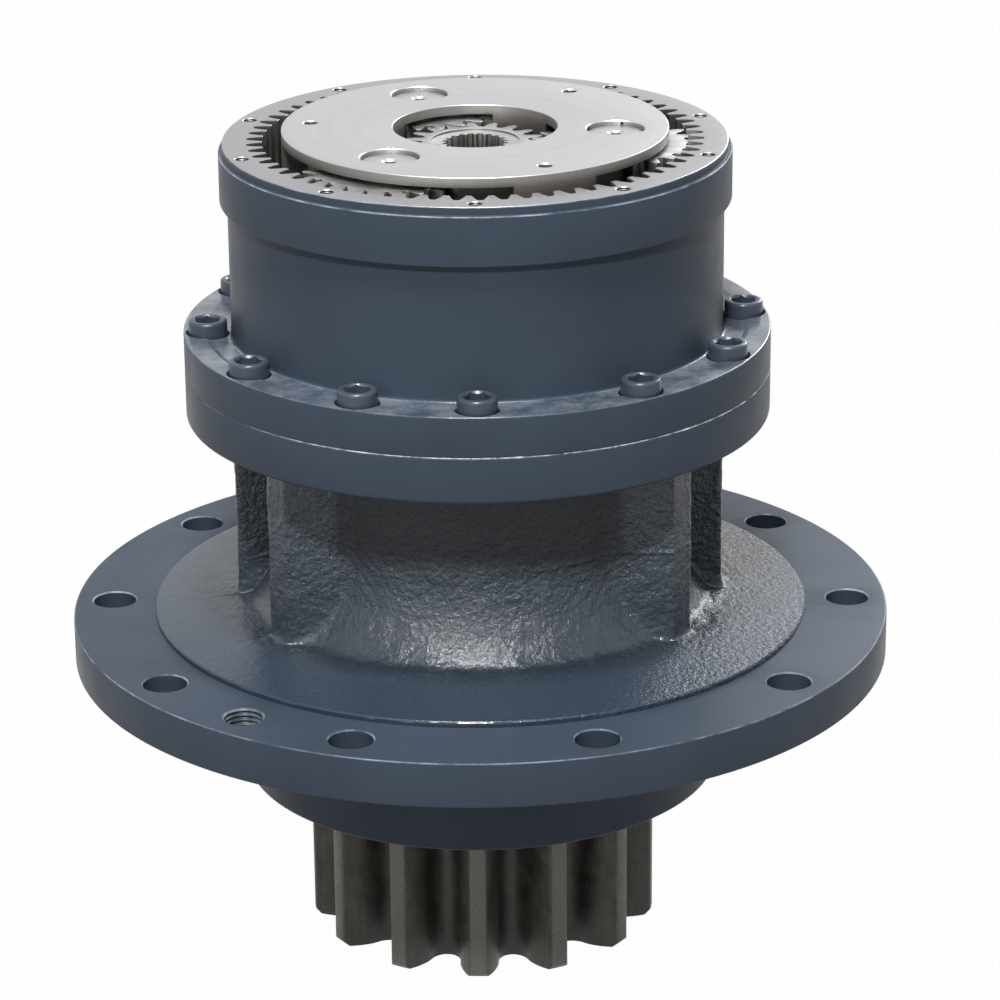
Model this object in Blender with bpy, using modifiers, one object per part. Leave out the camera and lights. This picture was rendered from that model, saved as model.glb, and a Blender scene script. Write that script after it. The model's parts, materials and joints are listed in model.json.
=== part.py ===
"""Swing drive gearbox: a two-stage planetary reducer with a slewing pinion.

The gearbox stands on the end of its pinion, with the output axis on +Z and the
origin at the centre of the pinion's end face. Sizes are in metres, written as
millimetres times MM. Each piece that comes off on the bench is its own object.
"""

import math

import bmesh
import bpy
from mathutils import Matrix, Vector

MM = 0.001
TURN = 2.0 * math.pi

# Clearances between pieces that touch or run in each other
SEAT_GAP = 0.3 * MM
TOOTH_GAP = 0.27 * MM
RUNNING_GAP = 1.5 * MM
BLIND_GAP = 2.0 * MM

# How far a cutter runs past the face it opens, and a joined piece into its neighbour
PAST = 3.0 * MM

# Facets around turned pieces
CASING_STEPS = 32
CARRIER_STEPS = 28
WINDOW_STEPS = 16
SHAFT_STEPS = 20
PIN_STEPS = 10
HOLE_STEPS = 8
FINE_HOLE_STEPS = 6
FLANK_STEPS = 1
PINION_FLANK_STEPS = 2

# Output pinion, which meshes with the slewing ring
PINION_TEETH = 13
PINION_MODULE = 12.0 * MM
PINION_BASE = 0.5 * MM
PINION_WIDTH = 81.5 * MM
PINION_TOP = PINION_BASE + PINION_WIDTH
PINION_DEDENDUM = 0.72
PINION_TOOTH_ANGLE = math.radians(268.0)
PINION_CHAMFER = 3.0 * MM
CORE_CHAMFER = 2.0 * MM
CORE_INSET = 1.0 * MM
END_RECESS_RADIUS = 20.0 * MM
END_RECESS_DEPTH = 4.0 * MM

# Stack of the shaft's seal and bearings, upwards from the pinion
SPIGOT_BOTTOM = PINION_TOP + 6.3 * MM
SEAL_LAND_BOTTOM = PINION_TOP + 4.0 * MM
SEAL_RECESS = 1.7 * MM
SEAL_WIDTH = 13.5 * MM
SEAL_BOTTOM = SPIGOT_BOTTOM + SEAL_RECESS
SEAL_TOP = SEAL_BOTTOM + SEAL_WIDTH
WEB_THICKNESS = 4.5 * MM
LOWER_SHOULDER = SEAL_TOP + WEB_THICKNESS
LOWER_BEARING_WIDTH = 42.0 * MM
LOWER_SEAT_TOP = LOWER_SHOULDER + LOWER_BEARING_WIDTH
BEARING_SPREAD = 90.0 * MM
UPPER_SHOULDER = LOWER_SEAT_TOP + BEARING_SPREAD
UPPER_BEARING_WIDTH = 40.0 * MM
UPPER_SEAT_TOP = UPPER_SHOULDER + UPPER_BEARING_WIDTH
JOURNAL_STEP = UPPER_SHOULDER - 4.0 * MM

# Main flange, the face that bolts to the machine's deck
FLANGE_RADIUS = 210.0 * MM
SPIGOT_HEIGHT = 63.6 * MM
FLANGE_BOTTOM = SPIGOT_BOTTOM + SPIGOT_HEIGHT
FLANGE_THICKNESS = 22.8 * MM
FLANGE_EDGE = 1.0 * MM
MOUNT_HOLES = 10
MOUNT_HOLE_RADIUS = 11.0 * MM
MOUNT_CIRCLE = FLANGE_RADIUS - 20.0 * MM
MOUNT_PHASE = math.radians(-1.2)
JACK_HOLE_RADIUS = 9.0 * MM
JACK_ANGLES = (math.radians(-127.3), math.radians(52.7))

# Cast body between the two flanges
BODY_RADIUS = 113.5 * MM
SPIGOT_RADIUS = BODY_RADIUS + 9.6 * MM
STEP_RADIUS = MOUNT_CIRCLE - 22.0 * MM
STEP_HEIGHT = 3.0 * MM
SKIRT_RISE = 5.0 * MM
SKIRT_INNER = BODY_RADIUS + 14.5 * MM
BODY_FOOT_RISE = 52.0 * MM
UNDER_FILLET = 5.0 * MM
SWEEP_STEPS = 4
RIB_RADIUS = BODY_RADIUS + 13.0 * MM
RIB_WIDTH = 18.0 * MM
RIB_PITCH = math.radians(36.0)
RIB_CENTRES = (math.radians(178.8), math.radians(-1.2))
RIB_FLARE = math.radians(32.0)
RIB_CORNER = 4.0 * MM
RIB_INSIDE = BODY_RADIUS - 10.5 * MM
RIB_SINK = 0.4 * MM

# Internal teeth, shared by both stages
PRESSURE_ANGLE = math.radians(20.0)
GEAR_MODULE = 3.5 * MM
RING_TEETH = 63
RING_GAP_ANGLE = math.radians(2.5)
RING_ADDENDUM = 1.2143
RING_DEDENDUM = 0.9571
RING_TIP_RADIUS = GEAR_MODULE * (RING_TEETH / 2.0 - RING_ADDENDUM)
RING_ROOT_RADIUS = GEAR_MODULE * (RING_TEETH / 2.0 + RING_DEDENDUM)
RING_RELIEF_RADIUS = RING_ROOT_RADIUS + 0.9 * MM
PLANETS = 3
ADDENDUM = 1.0
DEDENDUM = 1.25
STAGE1_SUN_TEETH = 18
STAGE1_PLANET_TEETH = 22
STAGE1_CENTRE = GEAR_MODULE * (STAGE1_SUN_TEETH + STAGE1_PLANET_TEETH) / 2.0
STAGE1_PLANET_SHIFT = 0.22
STAGE1_PHASE = math.radians(-6.2)
STAGE2_SUN_TEETH = 21
STAGE2_PLANET_TEETH = 21
STAGE2_CENTRE = GEAR_MODULE * (STAGE2_SUN_TEETH + STAGE2_PLANET_TEETH) / 2.0
STAGE2_PHASE = math.radians(30.0)

# Stack of the two stages, upwards from the upper bearing
WINDOW_GAP = 1.5 * MM
FACE_GAP = 2.0 * MM
CARRIER_EDGE = 0.8 * MM
CARRIER_BORE_SHARE = 0.5
CARRIER2_BOTTOM = UPPER_SEAT_TOP + 10.0 * MM
CARRIER2_BASE = 32.0 * MM
CARRIER2_FLOOR = CARRIER2_BOTTOM + CARRIER2_BASE
STAGE2_FACE_WIDTH = 44.0 * MM
STAGE2_GEARS_BOTTOM = CARRIER2_FLOOR + FACE_GAP
STAGE2_GEARS_TOP = STAGE2_GEARS_BOTTOM + STAGE2_FACE_WIDTH
CARRIER2_CEILING = STAGE2_GEARS_TOP + FACE_GAP
CARRIER2_PLATE = 7.5 * MM
CARRIER2_TOP = CARRIER2_CEILING + CARRIER2_PLATE
CARRIER1_BOTTOM = CARRIER2_TOP + RUNNING_GAP
CARRIER1_HUB_BOTTOM = STAGE2_GEARS_TOP + 3.0 * MM
CARRIER1_BASE = 10.0 * MM
CARRIER1_FLOOR = CARRIER1_BOTTOM + CARRIER1_BASE
STAGE1_FACE_WIDTH = 28.9 * MM
STAGE1_GEARS_BOTTOM = CARRIER1_FLOOR + FACE_GAP
STAGE1_GEARS_TOP = STAGE1_GEARS_BOTTOM + STAGE1_FACE_WIDTH
CARRIER1_CEILING = STAGE1_GEARS_TOP + 2.6 * MM
CARRIER1_PLATE = 5.0 * MM
CARRIER1_TOP = CARRIER1_CEILING + CARRIER1_PLATE

# Outlines of the two carriers
CARRIER1_RADIUS = RING_TIP_RADIUS - 9.6 * MM
CARRIER1_HOLE = 41.0 * MM
CARRIER1_HUB_RADIUS = 38.0 * MM
PILLAR_HOLE_RADIUS = 3.8 * MM
PILLAR_HOLE_DEPTH = 10.0 * MM
PILLAR_HOLE_CIRCLE = CARRIER1_RADIUS - 13.9 * MM
PILLAR_HALF_ANGLE = math.radians(13.0)
RIM_RELIEF = 9.4 * MM
RIM_STEPS = 10
CARRIER2_RADIUS = RING_TIP_RADIUS - 3.0 * MM
CARRIER2_HOLE = CARRIER1_HUB_RADIUS + 6.0 * MM

# Joint between the housing and the ring gear
JOINT_FACE = UPPER_SEAT_TOP + 24.5 * MM
HOUSING_FLANGE_THICKNESS = 23.1 * MM
JOINT_BOTTOM = JOINT_FACE - HOUSING_FLANGE_THICKNESS
RING_FLANGE_THICKNESS = 20.7 * MM
JOINT_TOP = JOINT_FACE + RING_FLANGE_THICKNESS
RING_WALL = 10.6 * MM
CYLINDER_RADIUS = RING_ROOT_RADIUS + RING_WALL
PILOT_RADIUS = CYLINDER_RADIUS - 2.2 * MM
PILOT_DEPTH = 8.0 * MM
BOLT_CIRCLE = CYLINDER_RADIUS + 11.8 * MM
JOINT_RADIUS = BOLT_CIRCLE + 12.3 * MM
JOINT_BOLTS = 12
BOLT_PHASE = math.radians(5.0)
ODD_BOLT = 9
ODD_BOLT_SHIFT = math.radians(-5.2)
BOLT_RADIUS = 7.0 * MM
BOLT_HEAD_RADIUS = 9.8 * MM
BOLT_HEAD_HEIGHT = 14.0 * MM
BOLT_HEAD_PROUD = 6.5 * MM
BOLT_HEX = 12.0 * MM
BOLT_EDGE = 1.2 * MM
BOLT_LENGTH = RING_FLANGE_THICKNESS + 11.3 * MM
SOCKET_SHARE = 0.5
COUNTERBORE_GAP = 0.4 * MM

# Ring gear above its flange, downwards from its top
RING_TOP = STAGE1_GEARS_TOP + 1.7 * MM
RING_TEETH_BOTTOM = STAGE2_GEARS_BOTTOM - 8.0 * MM
REGISTER_RADIUS = CYLINDER_RADIUS + 1.8 * MM
REGISTER_HEIGHT = 4.2 * MM
BAND_RADIUS = CYLINDER_RADIUS + 3.8 * MM
BAND_TOP = RING_TOP - REGISTER_HEIGHT
BAND_HEIGHT = 24.7 * MM
BAND_BOTTOM = BAND_TOP - BAND_HEIGHT
BAND_CHAMFER_HEIGHT = 5.0 * MM
CYLINDER_FOOT = 4.0 * MM
FLANGE_TOP_STEP = 1.0 * MM
FLANGE_STEP_RADIUS = BOLT_CIRCLE
COVER_HOLES = 10
COVER_HOLE_RADIUS = 3.5 * MM
COVER_HOLE_DEPTH = 12.0 * MM
COVER_CIRCLE = REGISTER_RADIUS - 6.2 * MM
COVER_PHASE = math.radians(-90.2)

# Planet pins, their bushes and the pins that lock them
PIN1_RADIUS = 14.2 * MM
PIN1_RECESS = 2.3 * MM
PIN2_RADIUS = 15.0 * MM
PIN_CHAMFER = 0.8 * MM
PIN_CENTRE_RADIUS = 3.0 * MM
PIN_CENTRE_DEPTH = 3.0 * MM
BUSH_WALL = 5.0 * MM
LOCK_RADIUS = 2.5 * MM
LOCK_LENGTH = 34.0 * MM
LOCK1_HEIGHT = CARRIER1_BOTTOM + CARRIER1_BASE / 2.0
LOCK2_HEIGHT = CARRIER2_BOTTOM + 13.0 * MM

# Splines, their teeth as shares of a quarter of the pitch
SPLINE_ROOT_SHARE = 1.1
SPLINE_TIP_SHARE = 0.8
INPUT_SPLINE_TEETH = 20
INPUT_SPLINE_TIP = 14.6 * MM
INPUT_SPLINE_DEPTH = 1.8 * MM
SUN1_HUB_RADIUS = 22.0 * MM
SUN1_HUB_RECESS = 0.8 * MM
SUN2_SPLINE_TEETH = 12
SUN2_SPLINE_RADIUS = CARRIER1_HUB_RADIUS - 10.0 * MM
SUN2_SPLINE_DEPTH = 3.0 * MM
SUN2_TOP = CARRIER1_FLOOR - 1.0 * MM
SHAFT_SPLINE_TEETH = 14
SHAFT_SPLINE_RADIUS = 46.0 * MM
SHAFT_SPLINE_DEPTH = 4.0 * MM
CARRIER2_BOSS_RADIUS = SHAFT_SPLINE_RADIUS + 10.0 * MM

# Thrust button between the two suns
BUTTON_RADIUS = 11.0 * MM
BUTTON_FACE_RADIUS = BUTTON_RADIUS - 4.4 * MM
BUTTON_DEPTH = 3.5 * MM
BUTTON_TOP = STAGE1_GEARS_BOTTOM + 2.0 * MM
BUTTON_SHOULDER = STAGE1_GEARS_BOTTOM - 1.0 * MM
BUTTON_CROWN = 0.5 * MM

# Output shaft, bearings and seal
END_PLATE_THICKNESS = 9.0 * MM
END_PLATE_RADIUS = SHAFT_SPLINE_RADIUS + 9.0 * MM
END_PLATE_SEAT = CARRIER2_FLOOR - END_PLATE_THICKNESS - 1.0 * MM
SHAFT_TOP = END_PLATE_SEAT - SEAT_GAP
SHAFT_CENTRE_RADIUS = 10.0 * MM
SHAFT_CENTRE_DEPTH = 8.0 * MM
SPLINE_END = 0.5 * MM
UPPER_JOURNAL_RADIUS = SHAFT_SPLINE_RADIUS + 6.5 * MM
UPPER_JOURNAL_CHAMFER = 2.0 * MM
LOWER_JOURNAL_RADIUS = UPPER_JOURNAL_RADIUS + 5.0 * MM
SEAL_LAND_RADIUS = LOWER_JOURNAL_RADIUS + 5.0 * MM
WEB_RADIUS = SEAL_LAND_RADIUS + 9.5 * MM
SEAL_BORE_RADIUS = SEAL_LAND_RADIUS + 17.5 * MM
SEAL_WALL = 4.0 * MM
SEAL_LIP_RELIEF = 1.5 * MM
LOWER_SEAT_RADIUS = BODY_RADIUS - 18.5 * MM
UPPER_SEAT_RADIUS = BODY_RADIUS - 14.5 * MM
CAVITY_RADIUS = CARRIER2_RADIUS + 5.0 * MM
CAVITY_BOTTOM = UPPER_SEAT_TOP + 4.0 * MM
SPACER_WALL = 6.0 * MM
BEARING_ROLLERS = 9
RACE_SHARE = 0.3
RACE_LIP = 3.0 * MM
CAGE_WALL = 2.5 * MM
CAGE_BAND = 5.0 * MM
END_BOLTS = 3
END_BOLT_CIRCLE = 26.0 * MM
END_BOLT_RADIUS = 5.0 * MM
END_BOLT_HEAD_RADIUS = 8.0 * MM
END_BOLT_HEAD_HEIGHT = 5.0 * MM
END_BOLT_LENGTH = 25.0 * MM


def make_collections():
    """Empty the scene, and make one collection for the parts and one for the cutters."""
    for old in list(bpy.data.objects):
        bpy.data.objects.remove(old, do_unlink=True)
    parts = bpy.data.collections.new("swing_drive_gearbox")
    cutters = bpy.data.collections.new("cutters")
    for collection in (parts, cutters):
        bpy.context.scene.collection.children.link(collection)
    return parts, cutters


PARTS, CUTTERS = make_collections()


def make_material(name, colour, roughness, metallic):
    """A Principled material with one colour, roughness and metallic value."""
    material = bpy.data.materials.new(name)
    material.use_nodes = True
    shader = material.node_tree.nodes["Principled BSDF"]
    shader.inputs["Base Color"].default_value = (*colour, 1.0)
    shader.inputs["Roughness"].default_value = roughness
    shader.inputs["Metallic"].default_value = metallic
    return material


# Colour, roughness and metallic value of each material
PAINT = ((0.065, 0.080, 0.105), 0.45, 0.0)
STEEL = ((0.55, 0.54, 0.51), 0.35, 1.0)
BEARING_STEEL = ((0.55, 0.54, 0.51), 0.2, 1.0)
DARK_STEEL = ((0.12, 0.11, 0.095), 0.45, 1.0)
BRONZE = ((0.45, 0.30, 0.12), 0.4, 1.0)
RUBBER = ((0.02, 0.02, 0.02), 0.6, 0.0)


def finish(name, material):
    """Join a part's coplanar faces, give it its material and shade its round faces smooth."""
    part = bpy.data.objects[name]
    shape = bmesh.new()
    shape.from_mesh(part.data)
    bmesh.ops.dissolve_limit(
        shape, angle_limit=math.radians(0.05), verts=shape.verts, edges=shape.edges,
    )
    bmesh.ops.triangulate(shape, faces=shape.faces)
    shape.to_mesh(part.data)
    shape.free()
    colour, roughness, metallic = material
    part.data.materials.clear()
    part.data.materials.append(make_material(name, colour, roughness, metallic))
    part.data.shade_smooth()
    part.data.set_sharp_from_angle(angle=math.radians(30.0))
    return part


def link(name, mesh, cutter=False):
    """Put a mesh in the scene as a part, or as a cutter that is not built."""
    made = bpy.data.objects.new(name, mesh)
    (CUTTERS if cutter else PARTS).objects.link(made)
    if cutter:
        made.hide_render = True
        made.display_type = "WIRE"
    return made


def circle(radius, steps):
    """Points of a circle about the axis, counter-clockwise."""
    return [polar(radius, TURN * step / steps) for step in range(steps)]


def around(radius, steps, gap=SEAT_GAP):
    """Corner radius of a faceted bore that clears a round piece at any turn."""
    return (radius + gap) / math.cos(math.pi / steps)


def polar(radius, angle):
    """A point at a radius and an angle about the axis."""
    return radius * math.cos(angle), radius * math.sin(angle)


def turned(name, profile, steps, cutter=False):
    """Turn a closed profile of (radius, height) points, outer side first from the top down."""
    mesh = bpy.data.meshes.new(name)
    rim = range(len(profile))
    on_axis = profile[0][0] == 0.0 and profile[-1][0] == 0.0
    edges = [(i, (i + 1) % len(profile)) for i in rim]
    if on_axis:
        edges.pop()
    mesh.from_pydata([(r, 0.0, z) for r, z in profile], edges, [])
    made = link(name, mesh, cutter)
    screw = made.modifiers.new("turn", "SCREW")
    screw.steps = steps
    screw.render_steps = steps
    screw.use_merge_vertices = True
    screw.merge_threshold = 0.00002
    return baked(made)


def baked(made):
    """Replace an object's mesh by its evaluated mesh, welded, with its modifiers gone."""
    bpy.context.view_layer.update()
    graph = bpy.context.evaluated_depsgraph_get()
    mesh = bpy.data.meshes.new_from_object(made.evaluated_get(graph))
    shape = bmesh.new()
    shape.from_mesh(mesh)
    bmesh.ops.remove_doubles(shape, verts=shape.verts, dist=0.00002)
    shape.to_mesh(mesh)
    shape.free()
    made.modifiers.clear()
    made.data = mesh
    return made


def flat(name, outlines, bottom, top, cutter=False):
    """A plate between two heights, from a closed outline and any holes in it."""
    curve = bpy.data.curves.new(name, "CURVE")
    curve.dimensions = "2D"
    curve.fill_mode = "BOTH"
    curve.extrude = (top - bottom) / 2.0
    for outline in outlines:
        spline = curve.splines.new("POLY")
        spline.points.add(len(outline) - 1)
        for point, (x, y) in zip(spline.points, outline):
            point.co = (x, y, 0.0, 1.0)
        spline.use_cyclic_u = True
    source = bpy.data.objects.new(name + "_outline", curve)
    PARTS.objects.link(source)
    bpy.context.view_layer.update()
    graph = bpy.context.evaluated_depsgraph_get()
    mesh = bpy.data.meshes.new_from_object(source.evaluated_get(graph))
    shape = bmesh.new()
    shape.from_mesh(mesh)
    bmesh.ops.remove_doubles(shape, verts=shape.verts, dist=0.00001)
    bmesh.ops.translate(shape, verts=shape.verts, vec=(0.0, 0.0, (top + bottom) / 2.0))
    bmesh.ops.recalc_face_normals(shape, faces=shape.faces)
    shape.to_mesh(mesh)
    shape.free()
    bpy.data.objects.remove(source, do_unlink=True)
    return link(name, mesh, cutter)


def lofted(name, levels):
    """A cutter whose outline changes with height, from (height, outline) levels of equal length."""
    shape = bmesh.new()
    rings = [[shape.verts.new((x, y, height)) for x, y in outline] for height, outline in levels]
    count = len(rings[0])
    for lower, upper in zip(rings, rings[1:]):
        for k in range(count):
            following = (k + 1) % count
            shape.faces.new((lower[k], lower[following], upper[following], upper[k]))
    shape.faces.new(list(reversed(rings[0])))
    shape.faces.new(rings[-1])
    mesh = bpy.data.meshes.new(name)
    shape.to_mesh(mesh)
    shape.free()
    return link(name, mesh, cutter=True)


def drills(name, places, level, steps=HOLE_STEPS):
    """One cutter made of upright drills, all of one (radius, bottom, top)."""
    radius, bottom, top = level
    shape = bmesh.new()
    for x, y in places:
        spot = Matrix.Translation((x, y, (bottom + top) / 2.0))
        bmesh.ops.create_cone(
            shape, cap_ends=True, segments=steps, radius1=radius, radius2=radius,
            depth=top - bottom, matrix=spot,
        )
    mesh = bpy.data.meshes.new(name)
    shape.to_mesh(mesh)
    shape.free()
    return link(name, mesh, cutter=True)


def boolean(target, tool, operation):
    """Cut, join or intersect with a cutter object, and keep the result as a mesh."""
    step = target.modifiers.new(tool.name, "BOOLEAN")
    step.object = tool
    step.operation = operation
    step.solver = "EXACT"
    baked(target)
    return target


def ring_places(radius, count, phase):
    """Points spread evenly around the axis."""
    return [polar(radius, phase + TURN * k / count) for k in range(count)]


def involute(angle):
    """The involute function of a pressure angle."""
    return math.tan(angle) - angle


def working_angle(standard, centre):
    """Pressure angle at a centre distance, from the one at the standard distance."""
    return math.acos(standard / centre * math.cos(PRESSURE_ANGLE))


def shift_sum(teeth, centre):
    """Profile shift that a pair needs in all, by its tooth sum or difference."""
    angle = working_angle(GEAR_MODULE * teeth / 2.0, centre)
    return (involute(angle) - involute(PRESSURE_ANGLE)) * teeth / (2.0 * math.tan(PRESSURE_ANGLE))


def half_tooth(teeth, module, shift, radius):
    """Half the angle that a tooth takes up at a radius."""
    base = module * teeth / 2.0 * math.cos(PRESSURE_ANGLE)
    at_pitch = math.pi / (2 * teeth) + 2.0 * shift * math.tan(PRESSURE_ANGLE) / teeth
    angle = math.acos(min(1.0, base / max(radius, base)))
    return at_pitch + involute(PRESSURE_ANGLE) - involute(angle)


def gear_outline(teeth, module, shift, root, tip, phase, thin, flank_steps=FLANK_STEPS):
    """Outline of an external gear, or of the gaps of an internal one when thin is negative."""
    radii = [root + (tip - root) * k / flank_steps for k in range(flank_steps + 1)]
    angles = [half_tooth(teeth, module, shift, radius) for radius in radii]
    ease = thin / (module * teeth / 2.0)
    if thin < 0.0:
        # A straight facet cuts the corner off a gap's curved flank, so the gap grows by that
        middles = [(a + b) / 2.0 for a, b in zip(radii, radii[1:])]
        chords = [(a + b) / 2.0 for a, b in zip(angles, angles[1:])]
        ease -= max(half_tooth(teeth, module, shift, r) - c for r, c in zip(middles, chords))
    points = []
    for tooth in range(teeth):
        middle = phase + TURN * tooth / teeth
        flank = [(radius, angle - ease) for radius, angle in zip(radii, angles)]
        points += [polar(radius, middle - angle) for radius, angle in flank]
        points += [polar(radius, middle + angle) for radius, angle in reversed(flank)]
    return points


def spline_outline(teeth, outer, depth, grow=0.0):
    """Outline of a straight-sided spline, grown by a clearance for its socket."""
    points = []
    half = TURN / teeth / 4.0
    for tooth in range(teeth):
        middle = TURN * tooth / teeth
        spread = grow / outer
        points.append(polar(outer - depth + grow, middle - half * SPLINE_ROOT_SHARE - spread))
        points.append(polar(outer + grow, middle - half * SPLINE_TIP_SHARE - spread))
        points.append(polar(outer + grow, middle + half * SPLINE_TIP_SHARE + spread))
        points.append(polar(outer - depth + grow, middle + half * SPLINE_ROOT_SHARE + spread))
    return points


def planet_angles(phase):
    """Where the planets of a stage stand around the axis."""
    return [phase + TURN * index / PLANETS for index in range(PLANETS)]


def planet_tooth_phase(place, planet_teeth):
    """Angle of a planet's tooth, so that it enters the ring gear's gap at its place."""
    return place + (RING_GAP_ANGLE - place) * RING_TEETH / planet_teeth


def sun_tooth_phase(phase, sun_teeth, planet_teeth):
    """Angle of a sun's tooth, so that the planets' gaps take its teeth."""
    wanted = math.pi * (planet_teeth + 1) - RING_GAP_ANGLE * RING_TEETH
    return (wanted + phase * (RING_TEETH + sun_teeth)) / sun_teeth


RING_SHIFT = STAGE1_PLANET_SHIFT + shift_sum(RING_TEETH - STAGE1_PLANET_TEETH, STAGE1_CENTRE)
STAGE1_SUN_SHIFT = shift_sum(STAGE1_SUN_TEETH + STAGE1_PLANET_TEETH, STAGE1_CENTRE) - STAGE1_PLANET_SHIFT
STAGE2_PLANET_SHIFT = RING_SHIFT - shift_sum(RING_TEETH - STAGE2_PLANET_TEETH, STAGE2_CENTRE)
STAGE2_SUN_SHIFT = shift_sum(STAGE2_SUN_TEETH + STAGE2_PLANET_TEETH, STAGE2_CENTRE) - STAGE2_PLANET_SHIFT


def tip_radius(teeth, shift):
    """Tip radius of an external gear."""
    return GEAR_MODULE * (teeth / 2.0 + ADDENDUM + shift)


def root_radius(teeth, shift):
    """Root radius of an external gear."""
    return GEAR_MODULE * (teeth / 2.0 - DEDENDUM + shift)


def housing_outer_profile():
    """Outside of the housing, from the top down, closed along the axis."""
    flange_top = FLANGE_BOTTOM + FLANGE_THICKNESS
    foot = flange_top + BODY_FOOT_RISE
    skirt_top = flange_top + STEP_HEIGHT + SKIRT_RISE
    outer = [
        (0.0, JOINT_FACE),
        (JOINT_RADIUS, JOINT_FACE),
        (JOINT_RADIUS, JOINT_BOTTOM),
        (BODY_RADIUS + UNDER_FILLET, JOINT_BOTTOM),
        (BODY_RADIUS, JOINT_BOTTOM - UNDER_FILLET),
        (BODY_RADIUS, foot),
    ]
    # The body widens down to the skirt along a quarter of an ellipse
    for k in range(1, SWEEP_STEPS + 1):
        angle = math.pi / 2.0 * k / SWEEP_STEPS
        radius = SKIRT_INNER - (SKIRT_INNER - BODY_RADIUS) * math.cos(angle)
        height = foot - (foot - skirt_top) * math.sin(angle)
        outer.append((radius, height))
    outer += [
        (STEP_RADIUS, flange_top + STEP_HEIGHT),
        (STEP_RADIUS, flange_top),
        (FLANGE_RADIUS - FLANGE_EDGE, flange_top),
        (FLANGE_RADIUS, flange_top - FLANGE_EDGE),
        (FLANGE_RADIUS, FLANGE_BOTTOM),
        (SPIGOT_RADIUS, FLANGE_BOTTOM),
        (SPIGOT_RADIUS, SPIGOT_BOTTOM),
        (0.0, SPIGOT_BOTTOM),
    ]
    return outer


def housing_bore_profiles():
    """The pilot and gear cavity, and below them the bearing seats and the seal bore."""
    pilot = around(PILOT_RADIUS, CASING_STEPS)
    pilot_floor = JOINT_FACE - PILOT_DEPTH - SEAT_GAP
    upper_seat = around(UPPER_SEAT_RADIUS, SHAFT_STEPS)
    lower_seat = around(LOWER_SEAT_RADIUS, SHAFT_STEPS)
    seal_seat = around(SEAL_BORE_RADIUS, SHAFT_STEPS)
    cavity = [
        (0.0, JOINT_FACE + PAST),
        (pilot, JOINT_FACE + PAST),
        (pilot, pilot_floor),
        (CAVITY_RADIUS, pilot_floor),
        (CAVITY_RADIUS, CAVITY_BOTTOM),
        (0.0, CAVITY_BOTTOM),
    ]
    seats = [
        (0.0, CAVITY_BOTTOM + PAST),
        (upper_seat, CAVITY_BOTTOM + PAST),
        (upper_seat, UPPER_SHOULDER),
        (lower_seat, UPPER_SHOULDER),
        (lower_seat, LOWER_SHOULDER),
        (WEB_RADIUS, LOWER_SHOULDER),
        (WEB_RADIUS, SEAL_TOP + SEAT_GAP),
        (seal_seat, SEAL_TOP + SEAT_GAP),
        (seal_seat, SPIGOT_BOTTOM - PAST),
        (0.0, SPIGOT_BOTTOM - PAST),
    ]
    return cavity, seats


def rib_outline(angle, flare):
    """Plan of one cast rib: square to the body, or with one side run out along a tangent."""
    half = RIB_WIDTH / 2.0
    across = [
        (RIB_INSIDE, -half),
        (RIB_RADIUS - RIB_CORNER, -half),
        (RIB_RADIUS, -half + RIB_CORNER),
        (RIB_RADIUS, half - RIB_CORNER),
        (RIB_RADIUS - RIB_CORNER, half),
        (RIB_INSIDE, half),
    ]
    if flare:
        touch = polar(BODY_RADIUS - RIB_SINK, flare)
        under = polar(RIB_INSIDE, flare)
        if flare > 0.0:
            across = across[:5] + [touch, under]
        else:
            across = [under, touch] + across[1:]
    turn = Matrix.Rotation(angle, 2)
    return [tuple(turn @ Vector(point)) for point in across]


def build_housing():
    """The cast housing: main flange, spigot, body, ribs and joint flange in one piece."""
    housing = turned("lower_housing", housing_outer_profile(), CASING_STEPS)
    ribs_bottom = FLANGE_BOTTOM + FLANGE_THICKNESS / 2.0
    ribs_top = JOINT_BOTTOM + PAST
    for group, centre in enumerate(RIB_CENTRES):
        for place in (-1, 0, 1):
            outline = rib_outline(centre + place * RIB_PITCH, place * RIB_FLARE)
            rib = flat(f"rib_{group}_{place + 1}", [outline], ribs_bottom, ribs_top, cutter=True)
            boolean(housing, rib, "UNION")
    cavity, seats = housing_bore_profiles()
    boolean(housing, turned("gear_cavity", cavity, CASING_STEPS, cutter=True), "DIFFERENCE")
    boolean(housing, turned("bearing_seats", seats, SHAFT_STEPS, cutter=True), "DIFFERENCE")
    through = (MOUNT_HOLE_RADIUS, FLANGE_BOTTOM - PAST, FLANGE_BOTTOM + FLANGE_THICKNESS + PAST)
    mounts = drills("mount_holes", ring_places(MOUNT_CIRCLE, MOUNT_HOLES, MOUNT_PHASE), through)
    boolean(housing, mounts, "DIFFERENCE")
    jack = (JACK_HOLE_RADIUS, through[1], through[2])
    jacks = drills("jack_holes", [polar(MOUNT_CIRCLE, angle) for angle in JACK_ANGLES], jack)
    boolean(housing, jacks, "DIFFERENCE")
    bolt_bottom = JOINT_TOP + BOLT_HEAD_PROUD - BOLT_HEAD_HEIGHT - BOLT_LENGTH
    hole = around(BOLT_RADIUS, FINE_HOLE_STEPS)
    tapped = (hole, bolt_bottom - BLIND_GAP, JOINT_FACE + PAST)
    bolts = drills("housing_bolt_holes", bolt_places(), tapped, FINE_HOLE_STEPS)
    boolean(housing, bolts, "DIFFERENCE")
    finish("lower_housing", PAINT)


def bolt_places():
    """Centres of the joint bolts: an even ring, with one bolt moved so that the gear fits one way."""
    spots = ring_places(BOLT_CIRCLE, JOINT_BOLTS, BOLT_PHASE)
    odd_angle = BOLT_PHASE + TURN * ODD_BOLT / JOINT_BOLTS + ODD_BOLT_SHIFT
    spots[ODD_BOLT] = polar(BOLT_CIRCLE, odd_angle)
    return spots


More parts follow.
